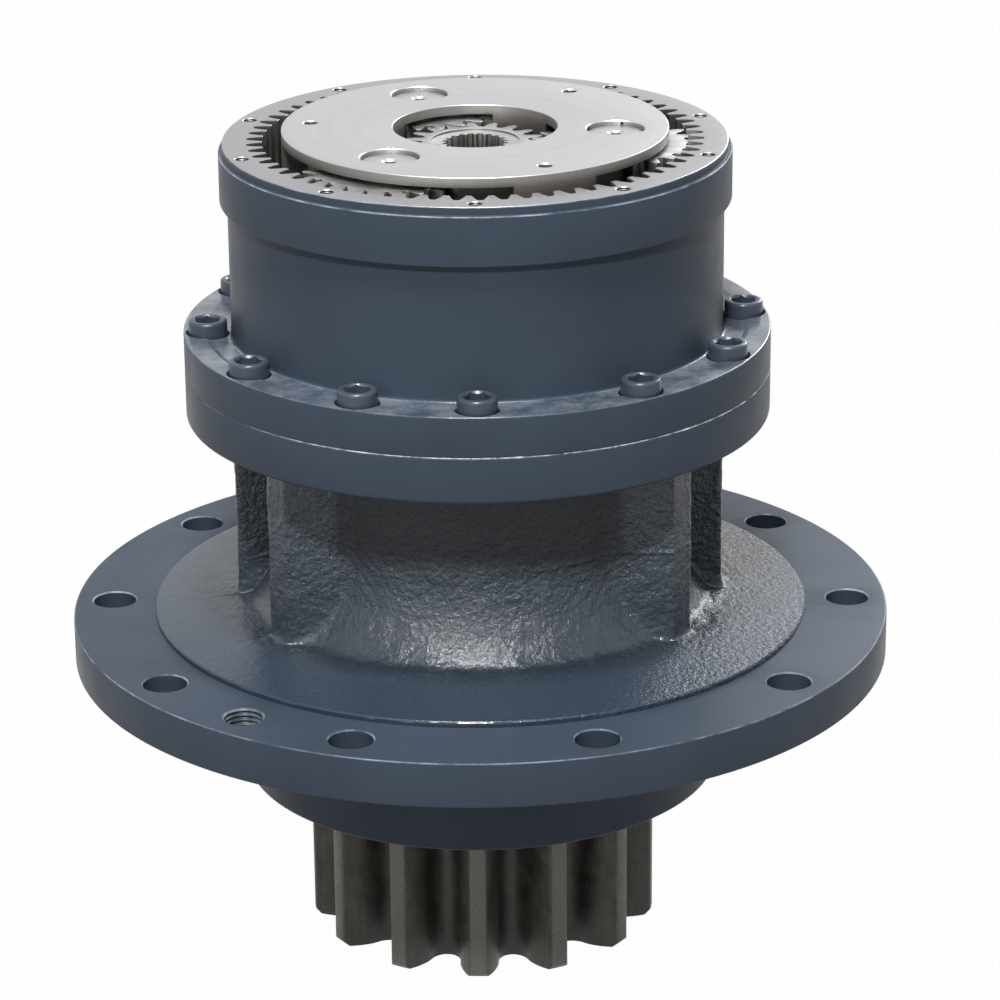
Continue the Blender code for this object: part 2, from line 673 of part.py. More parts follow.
def ring_profile():
    """Section of the ring gear before its teeth and holes are cut."""
    flange_floor = JOINT_TOP - FLANGE_TOP_STEP
    return [
        (REGISTER_RADIUS, RING_TOP),
        (REGISTER_RADIUS, BAND_TOP),
        (BAND_RADIUS, BAND_TOP),
        (BAND_RADIUS, BAND_BOTTOM),
        (CYLINDER_RADIUS, BAND_BOTTOM - BAND_CHAMFER_HEIGHT),
        (CYLINDER_RADIUS, flange_floor + CYLINDER_FOOT),
        (CYLINDER_RADIUS + CYLINDER_FOOT, flange_floor),
        (FLANGE_STEP_RADIUS, flange_floor),
        (FLANGE_STEP_RADIUS + FLANGE_TOP_STEP, JOINT_TOP),
        (JOINT_RADIUS - FLANGE_EDGE, JOINT_TOP),
        (JOINT_RADIUS, JOINT_TOP - FLANGE_EDGE),
        (JOINT_RADIUS, JOINT_FACE + SEAT_GAP),
        (PILOT_RADIUS, JOINT_FACE + SEAT_GAP),
        (PILOT_RADIUS, JOINT_FACE - PILOT_DEPTH),
        (RING_RELIEF_RADIUS, JOINT_FACE - PILOT_DEPTH),
        (RING_RELIEF_RADIUS, RING_TEETH_BOTTOM),
        (RING_TIP_RADIUS, RING_TEETH_BOTTOM),
        (RING_TIP_RADIUS, RING_TOP),
    ]


def build_ring_gear():
    """The ring gear: internal teeth for both stages, bolted flange and cover register."""
    ring = turned("ring_gear", ring_profile(), CASING_STEPS)
    gaps = gear_outline(
        RING_TEETH, GEAR_MODULE, RING_SHIFT, RING_TIP_RADIUS - PAST, RING_ROOT_RADIUS,
        RING_GAP_ANGLE, -TOOTH_GAP / 2.0,
    )
    broach = flat(
        "ring_broach", [gaps], RING_TEETH_BOTTOM - PAST, RING_TOP + PAST, cutter=True,
    )
    boolean(ring, broach, "DIFFERENCE")
    head_seat = JOINT_TOP + BOLT_HEAD_PROUD - BOLT_HEAD_HEIGHT
    counterbore = around(BOLT_HEAD_RADIUS, PIN_STEPS, COUNTERBORE_GAP)
    level = (counterbore, head_seat, JOINT_TOP + PAST)
    boolean(ring, drills("ring_counterbores", bolt_places(), level, PIN_STEPS), "DIFFERENCE")
    level = (around(BOLT_RADIUS, FINE_HOLE_STEPS), JOINT_FACE - PAST, head_seat + PAST)
    boolean(ring, drills("ring_bolt_holes", bolt_places(), level, FINE_HOLE_STEPS), "DIFFERENCE")
    level = (COVER_HOLE_RADIUS, RING_TOP - COVER_HOLE_DEPTH, RING_TOP + PAST)
    spots = ring_places(COVER_CIRCLE, COVER_HOLES, COVER_PHASE)
    boolean(ring, drills("cover_holes", spots, level, FINE_HOLE_STEPS), "DIFFERENCE")
    finish("ring_gear", PAINT)


def hexagon(across_flats):
    """Outline of a hexagonal socket."""
    return circle(across_flats / math.sqrt(3.0), 6)


def socket_bolt(name, place, seat, sizes, hex_size):
    """A socket-head cap screw, standing with the underside of its head at a height."""
    shank_radius, length, head_radius, head_height = sizes
    profile = [
        (0.0, seat + head_height),
        (head_radius - BOLT_EDGE, seat + head_height),
        (head_radius, seat + head_height - BOLT_EDGE),
        (head_radius, seat),
        (shank_radius, seat),
        (shank_radius, seat - length),
        (0.0, seat - length),
    ]
    bolt = turned(name, profile, PIN_STEPS)
    key = flat(
        name + "_socket", [hexagon(hex_size)], seat + head_height * (1.0 - SOCKET_SHARE),
        seat + head_height + PAST, cutter=True,
    )
    boolean(bolt, key, "DIFFERENCE")
    bolt.location = (place[0], place[1], 0.0)
    return bolt


def build_joint_bolts():
    """Twelve cap screws that hold the ring gear to the housing."""
    seat = JOINT_TOP + BOLT_HEAD_PROUD - BOLT_HEAD_HEIGHT + SEAT_GAP
    sizes = (BOLT_RADIUS, BOLT_LENGTH, BOLT_HEAD_RADIUS, BOLT_HEAD_HEIGHT)
    for number, place in enumerate(bolt_places(), start=1):
        name = f"joint_bolt_{number:02d}"
        socket_bolt(name, place, seat, sizes, BOLT_HEX)
        finish(name, PAINT)


def carrier(name, levels, radii, hub, centre, gear_radius, pin_radius, phase):
    """A one-piece planet carrier: two plates, a hub below, windows for the planets and pin holes."""
    bottom, floor, ceiling, top = levels
    radius, hole = radii
    hub_radius, hub_bottom = hub
    profile = [
        (radius - CARRIER_EDGE, top),
        (radius, top - CARRIER_EDGE),
        (radius, bottom),
        (hole * CARRIER_BORE_SHARE, bottom),
        (hole * CARRIER_BORE_SHARE, floor),
        (hole, floor),
        (hole, top),
    ]
    body = turned(name, profile, CARRIER_STEPS)
    boss = flat(name + "_hub", [circle(hub_radius, SHAFT_STEPS)], hub_bottom, bottom + PAST, cutter=True)
    boolean(body, boss, "UNION")
    spots = ring_places(centre, PLANETS, phase)
    level = (around(gear_radius, WINDOW_STEPS, WINDOW_GAP), floor, ceiling)
    boolean(body, drills(name + "_windows", spots, level, WINDOW_STEPS), "DIFFERENCE")
    level = (around(pin_radius, PIN_STEPS), bottom - PAST, top + PAST)
    boolean(body, drills(name + "_pin_bores", spots, level, PIN_STEPS), "DIFFERENCE")
    return body


def radial_rods(name, radius, reach, height, angles, cutter=False):
    """Level rods that point at the axis, between two radii."""
    inner, outer = reach
    shape = bmesh.new()
    for angle in angles:
        x, y = polar((inner + outer) / 2.0, angle)
        spot = Matrix.Translation((x, y, height)) @ Matrix.Rotation(angle, 4, "Z")
        spot = spot @ Matrix.Rotation(math.pi / 2.0, 4, "Y")
        bmesh.ops.create_cone(
            shape, cap_ends=True, segments=FINE_HOLE_STEPS, radius1=radius, radius2=radius,
            depth=outer - inner, matrix=spot,
        )
    mesh = bpy.data.meshes.new(name)
    shape.to_mesh(mesh)
    shape.free()
    return link(name, mesh, cutter)


def rim_relief(angle):
    """Plan of the cut beside a planet that leaves only narrow pillars under the plate's rim."""
    reach = TURN / 2.0 / PLANETS - PILLAR_HALF_ANGLE
    turns = [angle + reach * (2.0 * k / RIM_STEPS - 1.0) for k in range(RIM_STEPS + 1)]
    inner = [polar(CARRIER1_RADIUS - RIM_RELIEF, turn) for turn in turns]
    outer = [polar(CARRIER1_RADIUS + PAST, turn) for turn in reversed(turns)]
    return inner + outer


def build_carrier1():
    """First-stage carrier, whose hub drives the second sun."""
    body = carrier(
        "stage1_carrier",
        (CARRIER1_BOTTOM, CARRIER1_FLOOR, CARRIER1_CEILING, CARRIER1_TOP),
        (CARRIER1_RADIUS, CARRIER1_HOLE), (CARRIER1_HUB_RADIUS, CARRIER1_HUB_BOTTOM),
        STAGE1_CENTRE, tip_radius(STAGE1_PLANET_TEETH, STAGE1_PLANET_SHIFT), PIN1_RADIUS, STAGE1_PHASE,
    )
    socket = flat(
        "carrier1_spline",
        [spline_outline(SUN2_SPLINE_TEETH, SUN2_SPLINE_RADIUS, SUN2_SPLINE_DEPTH, SEAT_GAP)],
        CARRIER1_HUB_BOTTOM - PAST, CARRIER1_FLOOR + PAST, cutter=True,
    )
    boolean(body, socket, "DIFFERENCE")
    for place in range(PLANETS):
        outline = rim_relief(STAGE1_PHASE + TURN * place / PLANETS)
        relief = flat(f"carrier1_relief_{place}", [outline], CARRIER1_FLOOR, CARRIER1_CEILING, cutter=True)
        boolean(body, relief, "DIFFERENCE")
    eyes = drills(
        "carrier1_eyes",
        ring_places(PILLAR_HOLE_CIRCLE, PLANETS, STAGE1_PHASE + TURN / 2.0 / PLANETS),
        (PILLAR_HOLE_RADIUS, CARRIER1_TOP - PILLAR_HOLE_DEPTH, CARRIER1_TOP + PAST),
    )
    boolean(body, eyes, "DIFFERENCE")
    locks = radial_rods(
        "carrier1_lock_bores", around(LOCK_RADIUS, FINE_HOLE_STEPS), (STAGE1_CENTRE, CARRIER1_RADIUS + PAST),
        LOCK1_HEIGHT, planet_angles(STAGE1_PHASE), cutter=True,
    )
    boolean(body, locks, "DIFFERENCE")
    finish("stage1_carrier", STEEL)


def build_carrier2():
    """Second-stage carrier, which drives the output shaft through a spline."""
    body = carrier(
        "stage2_carrier",
        (CARRIER2_BOTTOM, CARRIER2_FLOOR, CARRIER2_CEILING, CARRIER2_TOP),
        (CARRIER2_RADIUS, CARRIER2_HOLE), (CARRIER2_BOSS_RADIUS, UPPER_SEAT_TOP + SEAT_GAP),
        STAGE2_CENTRE, tip_radius(STAGE2_PLANET_TEETH, STAGE2_PLANET_SHIFT), PIN2_RADIUS, STAGE2_PHASE,
    )
    recess = flat(
        "carrier2_recess", [circle(around(END_PLATE_RADIUS, SHAFT_STEPS), SHAFT_STEPS)],
        END_PLATE_SEAT, CARRIER2_FLOOR + PAST, cutter=True,
    )
    boolean(body, recess, "DIFFERENCE")
    socket = flat(
        "carrier2_spline",
        [spline_outline(SHAFT_SPLINE_TEETH, SHAFT_SPLINE_RADIUS, SHAFT_SPLINE_DEPTH, SEAT_GAP)],
        UPPER_SEAT_TOP - PAST, CARRIER2_FLOOR, cutter=True,
    )
    boolean(body, socket, "DIFFERENCE")
    locks = radial_rods(
        "carrier2_lock_bores", around(LOCK_RADIUS, FINE_HOLE_STEPS), (STAGE2_CENTRE, CARRIER2_RADIUS + PAST),
        LOCK2_HEIGHT, planet_angles(STAGE2_PHASE), cutter=True,
    )
    boolean(body, locks, "DIFFERENCE")
    finish("stage2_carrier", STEEL)


def build_planet(names, gear, levels, pin_radius, place, centre):
    """A planet gear, and the bush pressed into its bore."""
    teeth, shift = gear
    bottom, top = levels
    wall = pin_radius + BUSH_WALL
    outline = gear_outline(
        teeth, GEAR_MODULE, shift, root_radius(teeth, shift), tip_radius(teeth, shift),
        planet_tooth_phase(place, teeth), TOOTH_GAP / 2.0,
    )
    planet = flat(names[0], [outline, circle(around(wall, PIN_STEPS), PIN_STEPS)], bottom, top)
    rims = [circle(around(wall, PIN_STEPS, 0.0), PIN_STEPS), circle(around(pin_radius, PIN_STEPS), PIN_STEPS)]
    bush = flat(names[1], rims, bottom + SEAT_GAP, top - SEAT_GAP)
    for piece in (planet, bush):
        piece.location = (*polar(centre, place), 0.0)
    finish(names[0], STEEL)
    finish(names[1], BRONZE)


def build_planet_pin(names, pin, lock, place, centre):
    """A planet pin with its centre mark, and the pin that locks it in the carrier."""
    radius, bottom, top = pin
    height, outer = lock
    profile = [
        (0.0, top - PIN_CENTRE_DEPTH),
        (PIN_CENTRE_RADIUS, top - PIN_CENTRE_DEPTH),
        (PIN_CENTRE_RADIUS, top),
        (radius - PIN_CHAMFER, top),
        (radius, top - PIN_CHAMFER),
        (radius, bottom),
        (0.0, bottom),
    ]
    planet_pin = turned(names[0], profile, PIN_STEPS)
    inner = outer - LOCK_LENGTH
    bore = radial_rods(
        names[1] + "_bore", around(LOCK_RADIUS, FINE_HOLE_STEPS), (inner - SEAT_GAP, outer), height,
        [place], cutter=True,
    )
    x, y = polar(centre, place)
    bore.location = (-x, -y, 0.0)
    boolean(planet_pin, bore, "DIFFERENCE")
    planet_pin.location = (x, y, 0.0)
    finish(names[0], STEEL)
    radial_rods(names[1], LOCK_RADIUS, (inner, outer), height, [place])
    finish(names[1], DARK_STEEL)


def build_stage(stage, centre, phase, gear, levels, pin, lock):
    """The planets of one stage, with their bushes, pins and lock pins."""
    for letter, place in zip("abc", planet_angles(phase)):
        names = (f"stage{stage}_planet_{letter}", f"stage{stage}_planet_bush_{letter}")
        build_planet(names, gear, levels, pin[0], place, centre)
        names = (f"stage{stage}_planet_pin_{letter}", f"stage{stage}_pin_lock_{letter}")
        build_planet_pin(names, pin, lock, place, centre)


def build_suns():
    """The two sun gears and the thrust button between them."""
    shift = STAGE1_SUN_SHIFT
    outline = gear_outline(
        STAGE1_SUN_TEETH, GEAR_MODULE, shift, root_radius(STAGE1_SUN_TEETH, shift),
        tip_radius(STAGE1_SUN_TEETH, shift),
        sun_tooth_phase(STAGE1_PHASE, STAGE1_SUN_TEETH, STAGE1_PLANET_TEETH), TOOTH_GAP / 2.0,
    )
    bore = spline_outline(
        INPUT_SPLINE_TEETH, INPUT_SPLINE_TIP + INPUT_SPLINE_DEPTH, INPUT_SPLINE_DEPTH,
    )
    sun = flat("stage1_sun", [outline, bore], STAGE1_GEARS_BOTTOM, STAGE1_GEARS_TOP)
    hub = flat(
        "sun1_hub_recess", [circle(SUN1_HUB_RADIUS, SHAFT_STEPS)],
        STAGE1_GEARS_TOP - SUN1_HUB_RECESS, STAGE1_GEARS_TOP + PAST, cutter=True,
    )
    boolean(sun, hub, "DIFFERENCE")
    finish("stage1_sun", STEEL)

    shift = STAGE2_SUN_SHIFT
    outline = gear_outline(
        STAGE2_SUN_TEETH, GEAR_MODULE, shift, root_radius(STAGE2_SUN_TEETH, shift),
        tip_radius(STAGE2_SUN_TEETH, shift),
        sun_tooth_phase(STAGE2_PHASE, STAGE2_SUN_TEETH, STAGE2_PLANET_TEETH), TOOTH_GAP / 2.0,
    )
    sun = flat("stage2_sun", [outline], STAGE2_GEARS_BOTTOM, STAGE2_GEARS_TOP)
    stem = flat(
        "sun2_stem", [spline_outline(SUN2_SPLINE_TEETH, SUN2_SPLINE_RADIUS, SUN2_SPLINE_DEPTH)],
        STAGE2_GEARS_TOP - PAST, SUN2_TOP, cutter=True,
    )
    boolean(sun, stem, "UNION")
    button_seat = SUN2_TOP - BUTTON_DEPTH
    socket = drills(
        "sun2_button_seat", [(0.0, 0.0)],
        (around(BUTTON_RADIUS, PIN_STEPS), button_seat, SUN2_TOP + PAST), PIN_STEPS,
    )
    boolean(sun, socket, "DIFFERENCE")
    finish("stage2_sun", STEEL)

    profile = [
        (0.0, BUTTON_TOP),
        (BUTTON_FACE_RADIUS, BUTTON_TOP - BUTTON_CROWN),
        (BUTTON_RADIUS, BUTTON_SHOULDER),
        (BUTTON_RADIUS, button_seat + SEAT_GAP),
        (0.0, button_seat + SEAT_GAP),
    ]
    turned("thrust_button", profile, PIN_STEPS)
    finish("thrust_button", BRONZE)


def build_output_shaft():
    """The output shaft with its pinion, journals and spline, in one piece."""
    pitch_radius = PINION_MODULE * PINION_TEETH / 2.0
    tip = pitch_radius + PINION_MODULE * ADDENDUM
    root = pitch_radius - PINION_MODULE * PINION_DEDENDUM
    core = root - CORE_INSET
    profile = [
        (0.0, SHAFT_TOP - SHAFT_CENTRE_DEPTH),
        (SHAFT_CENTRE_RADIUS, SHAFT_TOP - SHAFT_CENTRE_DEPTH),
        (SHAFT_CENTRE_RADIUS, SHAFT_TOP),
        (SHAFT_SPLINE_RADIUS - SHAFT_SPLINE_DEPTH, SHAFT_TOP),
        (SHAFT_SPLINE_RADIUS - SHAFT_SPLINE_DEPTH, UPPER_SEAT_TOP),
        (UPPER_JOURNAL_RADIUS, UPPER_SEAT_TOP - UPPER_JOURNAL_CHAMFER),
        (UPPER_JOURNAL_RADIUS, JOURNAL_STEP),
        (LOWER_JOURNAL_RADIUS, JOURNAL_STEP),
        (LOWER_JOURNAL_RADIUS, LOWER_SHOULDER),
        (SEAL_LAND_RADIUS, LOWER_SHOULDER),
        (SEAL_LAND_RADIUS, SEAL_LAND_BOTTOM),
        (core, SEAL_LAND_BOTTOM),
        (core, CORE_CHAMFER),
        (core - CORE_CHAMFER, 0.0),
        (END_RECESS_RADIUS, 0.0),
        (END_RECESS_RADIUS - END_RECESS_DEPTH, END_RECESS_DEPTH),
        (0.0, END_RECESS_DEPTH),
    ]
    shaft = turned("output_shaft", profile, SHAFT_STEPS)
    levels = []
    for height, inset in (
        (PINION_BASE, PINION_CHAMFER), (PINION_BASE + PINION_CHAMFER, 0.0), (PINION_TOP, 0.0),
    ):
        outline = gear_outline(
            PINION_TEETH, PINION_MODULE, 0.0, root, tip - inset, PINION_TOOTH_ANGLE, 0.0, PINION_FLANK_STEPS,
        )
        levels.append((height, outline))
    boolean(shaft, lofted("pinion_teeth", levels), "UNION")
    spline = flat(
        "shaft_spline", [spline_outline(SHAFT_SPLINE_TEETH, SHAFT_SPLINE_RADIUS, SHAFT_SPLINE_DEPTH)],
        UPPER_SEAT_TOP + SEAT_GAP, SHAFT_TOP - SPLINE_END, cutter=True,
    )
    boolean(shaft, spline, "UNION")
    depth = END_BOLT_LENGTH + BLIND_GAP
    bolts = drills(
        "shaft_end_holes", ring_places(END_BOLT_CIRCLE, END_BOLTS, STAGE2_PHASE),
        (around(END_BOLT_RADIUS, FINE_HOLE_STEPS), SHAFT_TOP - depth, SHAFT_TOP + PAST), FINE_HOLE_STEPS,
    )
    boolean(shaft, bolts, "DIFFERENCE")
    finish("output_shaft", DARK_STEEL)


def build_bearing(name, journal, seat, bottom, top):
    """A roller bearing: outer race, inner race, and rollers held in one cage ring."""
    bottom += SEAT_GAP
    inner = around(journal, SHAFT_STEPS)
    wall = (seat - inner) * RACE_SHARE
    inner_track = inner + wall
    outer_track = seat - wall
    profile = [
        (seat, top), (seat, bottom), (outer_track - RACE_LIP, bottom),
        (outer_track, bottom + RACE_LIP), (outer_track, top - RACE_LIP), (outer_track - RACE_LIP, top),
    ]
    turned(name + "_outer_race", profile, SHAFT_STEPS)
    finish(name + "_outer_race", BEARING_STEEL)
    profile = [
        (inner_track + RACE_LIP, top), (inner_track, top - RACE_LIP), (inner_track, bottom + RACE_LIP),
        (inner_track + RACE_LIP, bottom), (inner, bottom), (inner, top),
    ]
    turned(name + "_inner_race", profile, SHAFT_STEPS)
    finish(name + "_inner_race", BEARING_STEEL)
    outer_reach = outer_track * math.cos(math.pi / SHAFT_STEPS)
    roller = (outer_reach - inner_track) / 2.0 - SEAT_GAP
    middle = (outer_reach + inner_track) / 2.0
    height = (bottom + top) / 2.0
    outlines = [circle(middle + CAGE_WALL, SHAFT_STEPS), circle(middle - CAGE_WALL, SHAFT_STEPS)]
    rollers = flat(name + "_rollers", outlines, height - CAGE_BAND, height + CAGE_BAND)
    level = (roller, bottom + RACE_LIP, top - RACE_LIP)
    barrels = drills(name + "_barrels", ring_places(middle, BEARING_ROLLERS, 0.0), level, FINE_HOLE_STEPS)
    boolean(rollers, barrels, "UNION")
    finish(name + "_rollers", BEARING_STEEL)


def build_shaft_fittings():
    """Seal, bearing spacer, shaft end plate and its bolts."""
    inner = around(SEAL_LAND_RADIUS, SHAFT_STEPS)
    profile = [
        (SEAL_BORE_RADIUS, SEAL_TOP),
        (SEAL_BORE_RADIUS, SEAL_BOTTOM),
        (SEAL_BORE_RADIUS - SEAL_WALL, SEAL_BOTTOM),
        (SEAL_BORE_RADIUS - SEAL_WALL, SEAL_TOP - SEAL_WALL),
        (inner + SEAL_WALL, SEAL_TOP - SEAL_WALL),
        (inner + SEAL_WALL, SEAL_BOTTOM),
        (inner, SEAL_BOTTOM + SEAL_WALL),
        (inner + SEAL_LIP_RELIEF, SEAL_TOP),
    ]
    turned("oil_seal", profile, SHAFT_STEPS)
    finish("oil_seal", RUBBER)
    bore = around(LOWER_JOURNAL_RADIUS, SHAFT_STEPS)
    flat(
        "bearing_spacer", [circle(bore + SPACER_WALL, SHAFT_STEPS), circle(bore, SHAFT_STEPS)],
        LOWER_SEAT_TOP + SEAT_GAP, UPPER_SHOULDER,
    )
    finish("bearing_spacer", STEEL)
    plate_bottom = END_PLATE_SEAT + SEAT_GAP
    plate = flat(
        "shaft_end_plate", [circle(END_PLATE_RADIUS, SHAFT_STEPS)],
        plate_bottom, plate_bottom + END_PLATE_THICKNESS,
    )
    head_seat = plate_bottom + END_PLATE_THICKNESS - END_BOLT_HEAD_HEIGHT
    spots = ring_places(END_BOLT_CIRCLE, END_BOLTS, STAGE2_PHASE)
    sinks = drills(
        "end_plate_sinks", spots,
        (around(END_BOLT_HEAD_RADIUS, PIN_STEPS), head_seat - SEAT_GAP, CARRIER2_FLOOR + PAST), PIN_STEPS,
    )
    boolean(plate, sinks, "DIFFERENCE")
    holes = drills(
        "end_plate_holes", spots,
        (around(END_BOLT_RADIUS, FINE_HOLE_STEPS), plate_bottom - PAST, head_seat), FINE_HOLE_STEPS,
    )
    boolean(plate, holes, "DIFFERENCE")
    finish("shaft_end_plate", STEEL)
    sizes = (END_BOLT_RADIUS, END_BOLT_LENGTH, END_BOLT_HEAD_RADIUS, END_BOLT_HEAD_HEIGHT)
    for number, spot in enumerate(spots, start=1):
        name = f"end_plate_bolt_{number}"
        socket_bolt(name, spot, head_seat, sizes, END_BOLT_HEAD_RADIUS)
        finish(name, DARK_STEEL)


def build_gearbox():
    """Every piece, from the casings inwards."""
    build_housing()
    build_ring_gear()
    build_joint_bolts()
    build_carrier1()
    build_carrier2()
    build_stage(
        1, STAGE1_CENTRE, STAGE1_PHASE, (STAGE1_PLANET_TEETH, STAGE1_PLANET_SHIFT),
        (STAGE1_GEARS_BOTTOM, STAGE1_GEARS_TOP),
        (PIN1_RADIUS, CARRIER1_BOTTOM + SEAT_GAP, CARRIER1_TOP - PIN1_RECESS),
        (LOCK1_HEIGHT, CARRIER1_RADIUS - RUNNING_GAP),
    )
    build_stage(
        2, STAGE2_CENTRE, STAGE2_PHASE, (STAGE2_PLANET_TEETH, STAGE2_PLANET_SHIFT),
        (STAGE2_GEARS_BOTTOM, STAGE2_GEARS_TOP),
        (PIN2_RADIUS, CARRIER2_BOTTOM + SEAT_GAP, CARRIER2_TOP - SEAT_GAP),
        (LOCK2_HEIGHT, CARRIER2_RADIUS - RUNNING_GAP),
    )
    build_suns()
    build_output_shaft()
    build_bearing("lower_bearing", LOWER_JOURNAL_RADIUS, LOWER_SEAT_RADIUS, LOWER_SHOULDER, LOWER_SEAT_TOP)
    build_bearing("upper_bearing", UPPER_JOURNAL_RADIUS, UPPER_SEAT_RADIUS, UPPER_SHOULDER, UPPER_SEAT_TOP)
    build_shaft_fittings()


build_gearbox()
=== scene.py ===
# %% [markdown]
# # A slewing gearbox, dressed
# This gearbox turns the upper half of an excavator. A motor drives the small sun gear in the
# middle of the top, two planetary stages slow it down, and the heavy pinion at the bottom
# turns the machine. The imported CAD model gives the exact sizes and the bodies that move. This
# script adds fine meshes, node materials, a camera and soft studio light round it.
#
# Every mesh keeps its place in its own points, so all objects stand at the origin. Sizes are
# metres, written as millimetres times MM.

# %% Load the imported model
import json
import math

import bmesh
import bpy
import numpy as np
from mathutils import Matrix, Vector, noise


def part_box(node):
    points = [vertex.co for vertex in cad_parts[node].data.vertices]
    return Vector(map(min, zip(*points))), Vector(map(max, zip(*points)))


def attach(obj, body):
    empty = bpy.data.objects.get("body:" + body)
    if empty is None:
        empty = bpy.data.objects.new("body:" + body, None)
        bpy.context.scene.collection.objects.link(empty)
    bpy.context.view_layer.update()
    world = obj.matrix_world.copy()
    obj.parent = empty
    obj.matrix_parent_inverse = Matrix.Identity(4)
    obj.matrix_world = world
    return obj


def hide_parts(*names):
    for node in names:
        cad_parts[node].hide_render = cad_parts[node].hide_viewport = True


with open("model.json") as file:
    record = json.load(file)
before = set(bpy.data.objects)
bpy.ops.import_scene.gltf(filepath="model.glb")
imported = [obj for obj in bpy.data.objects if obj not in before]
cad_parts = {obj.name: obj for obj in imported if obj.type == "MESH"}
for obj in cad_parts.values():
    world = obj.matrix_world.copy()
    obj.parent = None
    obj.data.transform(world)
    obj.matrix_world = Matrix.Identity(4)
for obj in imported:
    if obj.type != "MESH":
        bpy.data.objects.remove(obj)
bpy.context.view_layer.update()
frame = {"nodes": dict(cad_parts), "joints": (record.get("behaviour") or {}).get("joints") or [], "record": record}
MM = 0.001
TURN = 2.0 * math.pi

# %% [markdown]
# ## Sizes that come from the model
# A node's box gives its widest radius and its two end faces. Reading these from the frame
# keeps the fine meshes exactly on their CAD solids, even if a size there changes.


# %% Read radii and heights
def reach(node):
    """Widest radius, lowest height and highest height of a node about the main axis."""
    low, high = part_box(node)
    return max(high[0], -low[0]), low[2], high[2]


FLANGE_RADIUS, SPIGOT_BOTTOM, JOINT_FACE = reach("lower_housing")
JOINT_RADIUS, PILOT_BOTTOM, RING_TOP = reach("ring_gear")
PLATE_RADIUS, HUB_BOTTOM, PLATE_TOP = reach("stage1_carrier")
PINION_END, SHAFT_TOP = reach("output_shaft")[1:]
BOLT_NODES = sorted(name for name in frame["nodes"] if name.startswith("joint_bolt_"))
BOLT_BOXES = [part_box(name) for name in BOLT_NODES]
BOLT_SPOTS = [((low[0] + high[0]) / 2.0, (low[1] + high[1]) / 2.0) for low, high in BOLT_BOXES]
BOLT_TOP = BOLT_BOXES[0][1][2]
HEAD_RADIUS = (BOLT_BOXES[0][1][0] - BOLT_BOXES[0][0][0]) / 2.0
PIN_TOP = reach("stage1_planet_pin_a")[2]
SUN_BOTTOM, SUN_TOP = reach("stage1_sun")[1:]
print("flange radius %.1f mm, height %.1f mm" % (FLANGE_RADIUS / MM, PLATE_TOP / MM))


# %% Put things in the scene
def new_object(name, data):
    """An object in the scene that shows a mesh, a lamp or a camera."""
    made = bpy.data.objects.new(name, data)
    bpy.context.scene.collection.objects.link(made)
    return made


# %% [markdown]
# ## The camera
# The photograph looks down at the gearbox by about twenty degrees through a long lens. A long
# lens far away keeps the flanges' ellipses slim, as they are in the picture, so the distance
# matters as much as the angle.

# %% Set the camera
CAMERA_DISTANCE = 1.8997
CAMERA_HEIGHT = 0.9333
CAMERA_TILT = 0.3551
CAMERA_YAW = 0.0056
CAMERA_ROLL = -0.0095
CAMERA_LENS = 141.8

ahead = Vector((
    math.sin(CAMERA_YAW) * math.cos(CAMERA_TILT),
    math.cos(CAMERA_YAW) * math.cos(CAMERA_TILT),
    -math.sin(CAMERA_TILT),
))
level = Vector((math.cos(CAMERA_YAW), -math.sin(CAMERA_YAW), 0.0))
upright = level.cross(ahead)
across = math.cos(CAMERA_ROLL) * level + math.sin(CAMERA_ROLL) * upright
upward = math.cos(CAMERA_ROLL) * upright - math.sin(CAMERA_ROLL) * level
camera_data = bpy.data.cameras.new("camera")
camera_data.sensor_width = 36.0
camera_data.lens = CAMERA_LENS
camera_data.clip_end = 50.0
camera = new_object("camera", camera_data)
camera.matrix_world = Matrix((across, upward, -ahead)).transposed().to_4x4()
camera.location = (0.0, -CAMERA_DISTANCE, CAMERA_HEIGHT)
bpy.context.scene.camera = camera
bpy.context.scene.view_settings.view_transform = "Standard"

# %% [markdown]
# ## Node helper
# A material is a small network of nodes. This helper adds one node, and takes each input as
# either a plain value or another node's output, so a whole network reads like a recipe.


# %% Define the node helper
class Network:
    """A node tree that grows one node at a time."""

    def __init__(self, tree):
        self.tree = tree

    def add(self, kind, inputs=None, output=0, **settings):
        """Add a node, set or link its inputs, and give back one of its outputs."""
        made = self.tree.nodes.new(kind)
        for name, value in settings.items():
            setattr(made, name, value)
        for name, value in (inputs or {}).items():
            if isinstance(value, bpy.types.NodeSocket):
                self.tree.links.new(value, made.inputs[name])
            else:
                made.inputs[name].default_value = value
        return made.outputs[output] if made.outputs else None

    def maths(self, operation, *values):
        """A Math node."""
        return self.add("ShaderNodeMath", dict(enumerate(values)), operation=operation)

    def plus(self, first, second):
        """A sum."""
        return self.maths("ADD", first, second)

    def times(self, first, second):
        """A product."""
        return self.maths("MULTIPLY", first, second)

    def split(self, vector):
        """The three outputs X, Y and Z of a vector."""
        parts = self.tree.nodes.new("ShaderNodeSeparateXYZ")
        self.tree.links.new(vector, parts.inputs[0])
        return parts.outputs

    def noise(self, vector, scale, detail=3.0, roughness=0.55):
        """The grey value of a 3-D noise."""
        inputs = {"Vector": vector, "Scale": scale, "Detail": detail, "Roughness": roughness}
        return self.add("ShaderNodeTexNoise", inputs)

    def ramp(self, value, low, high, start=0.0, end=1.0):
        """A value moved from one range to another, and held at its ends."""
        inputs = {"Value": value, 1: low, 2: high, 3: start, 4: end}
        return self.add("ShaderNodeMapRange", inputs)

    def mix(self, share, first, second):
        """A colour between two colours."""
        inputs = {"Factor": share, 6: first, 7: second}
        return self.add("ShaderNodeMix", inputs, output=2, data_type="RGBA")


def tone(red, green, blue):
    """A colour with full alpha."""
    return (red, green, blue, 1.0)


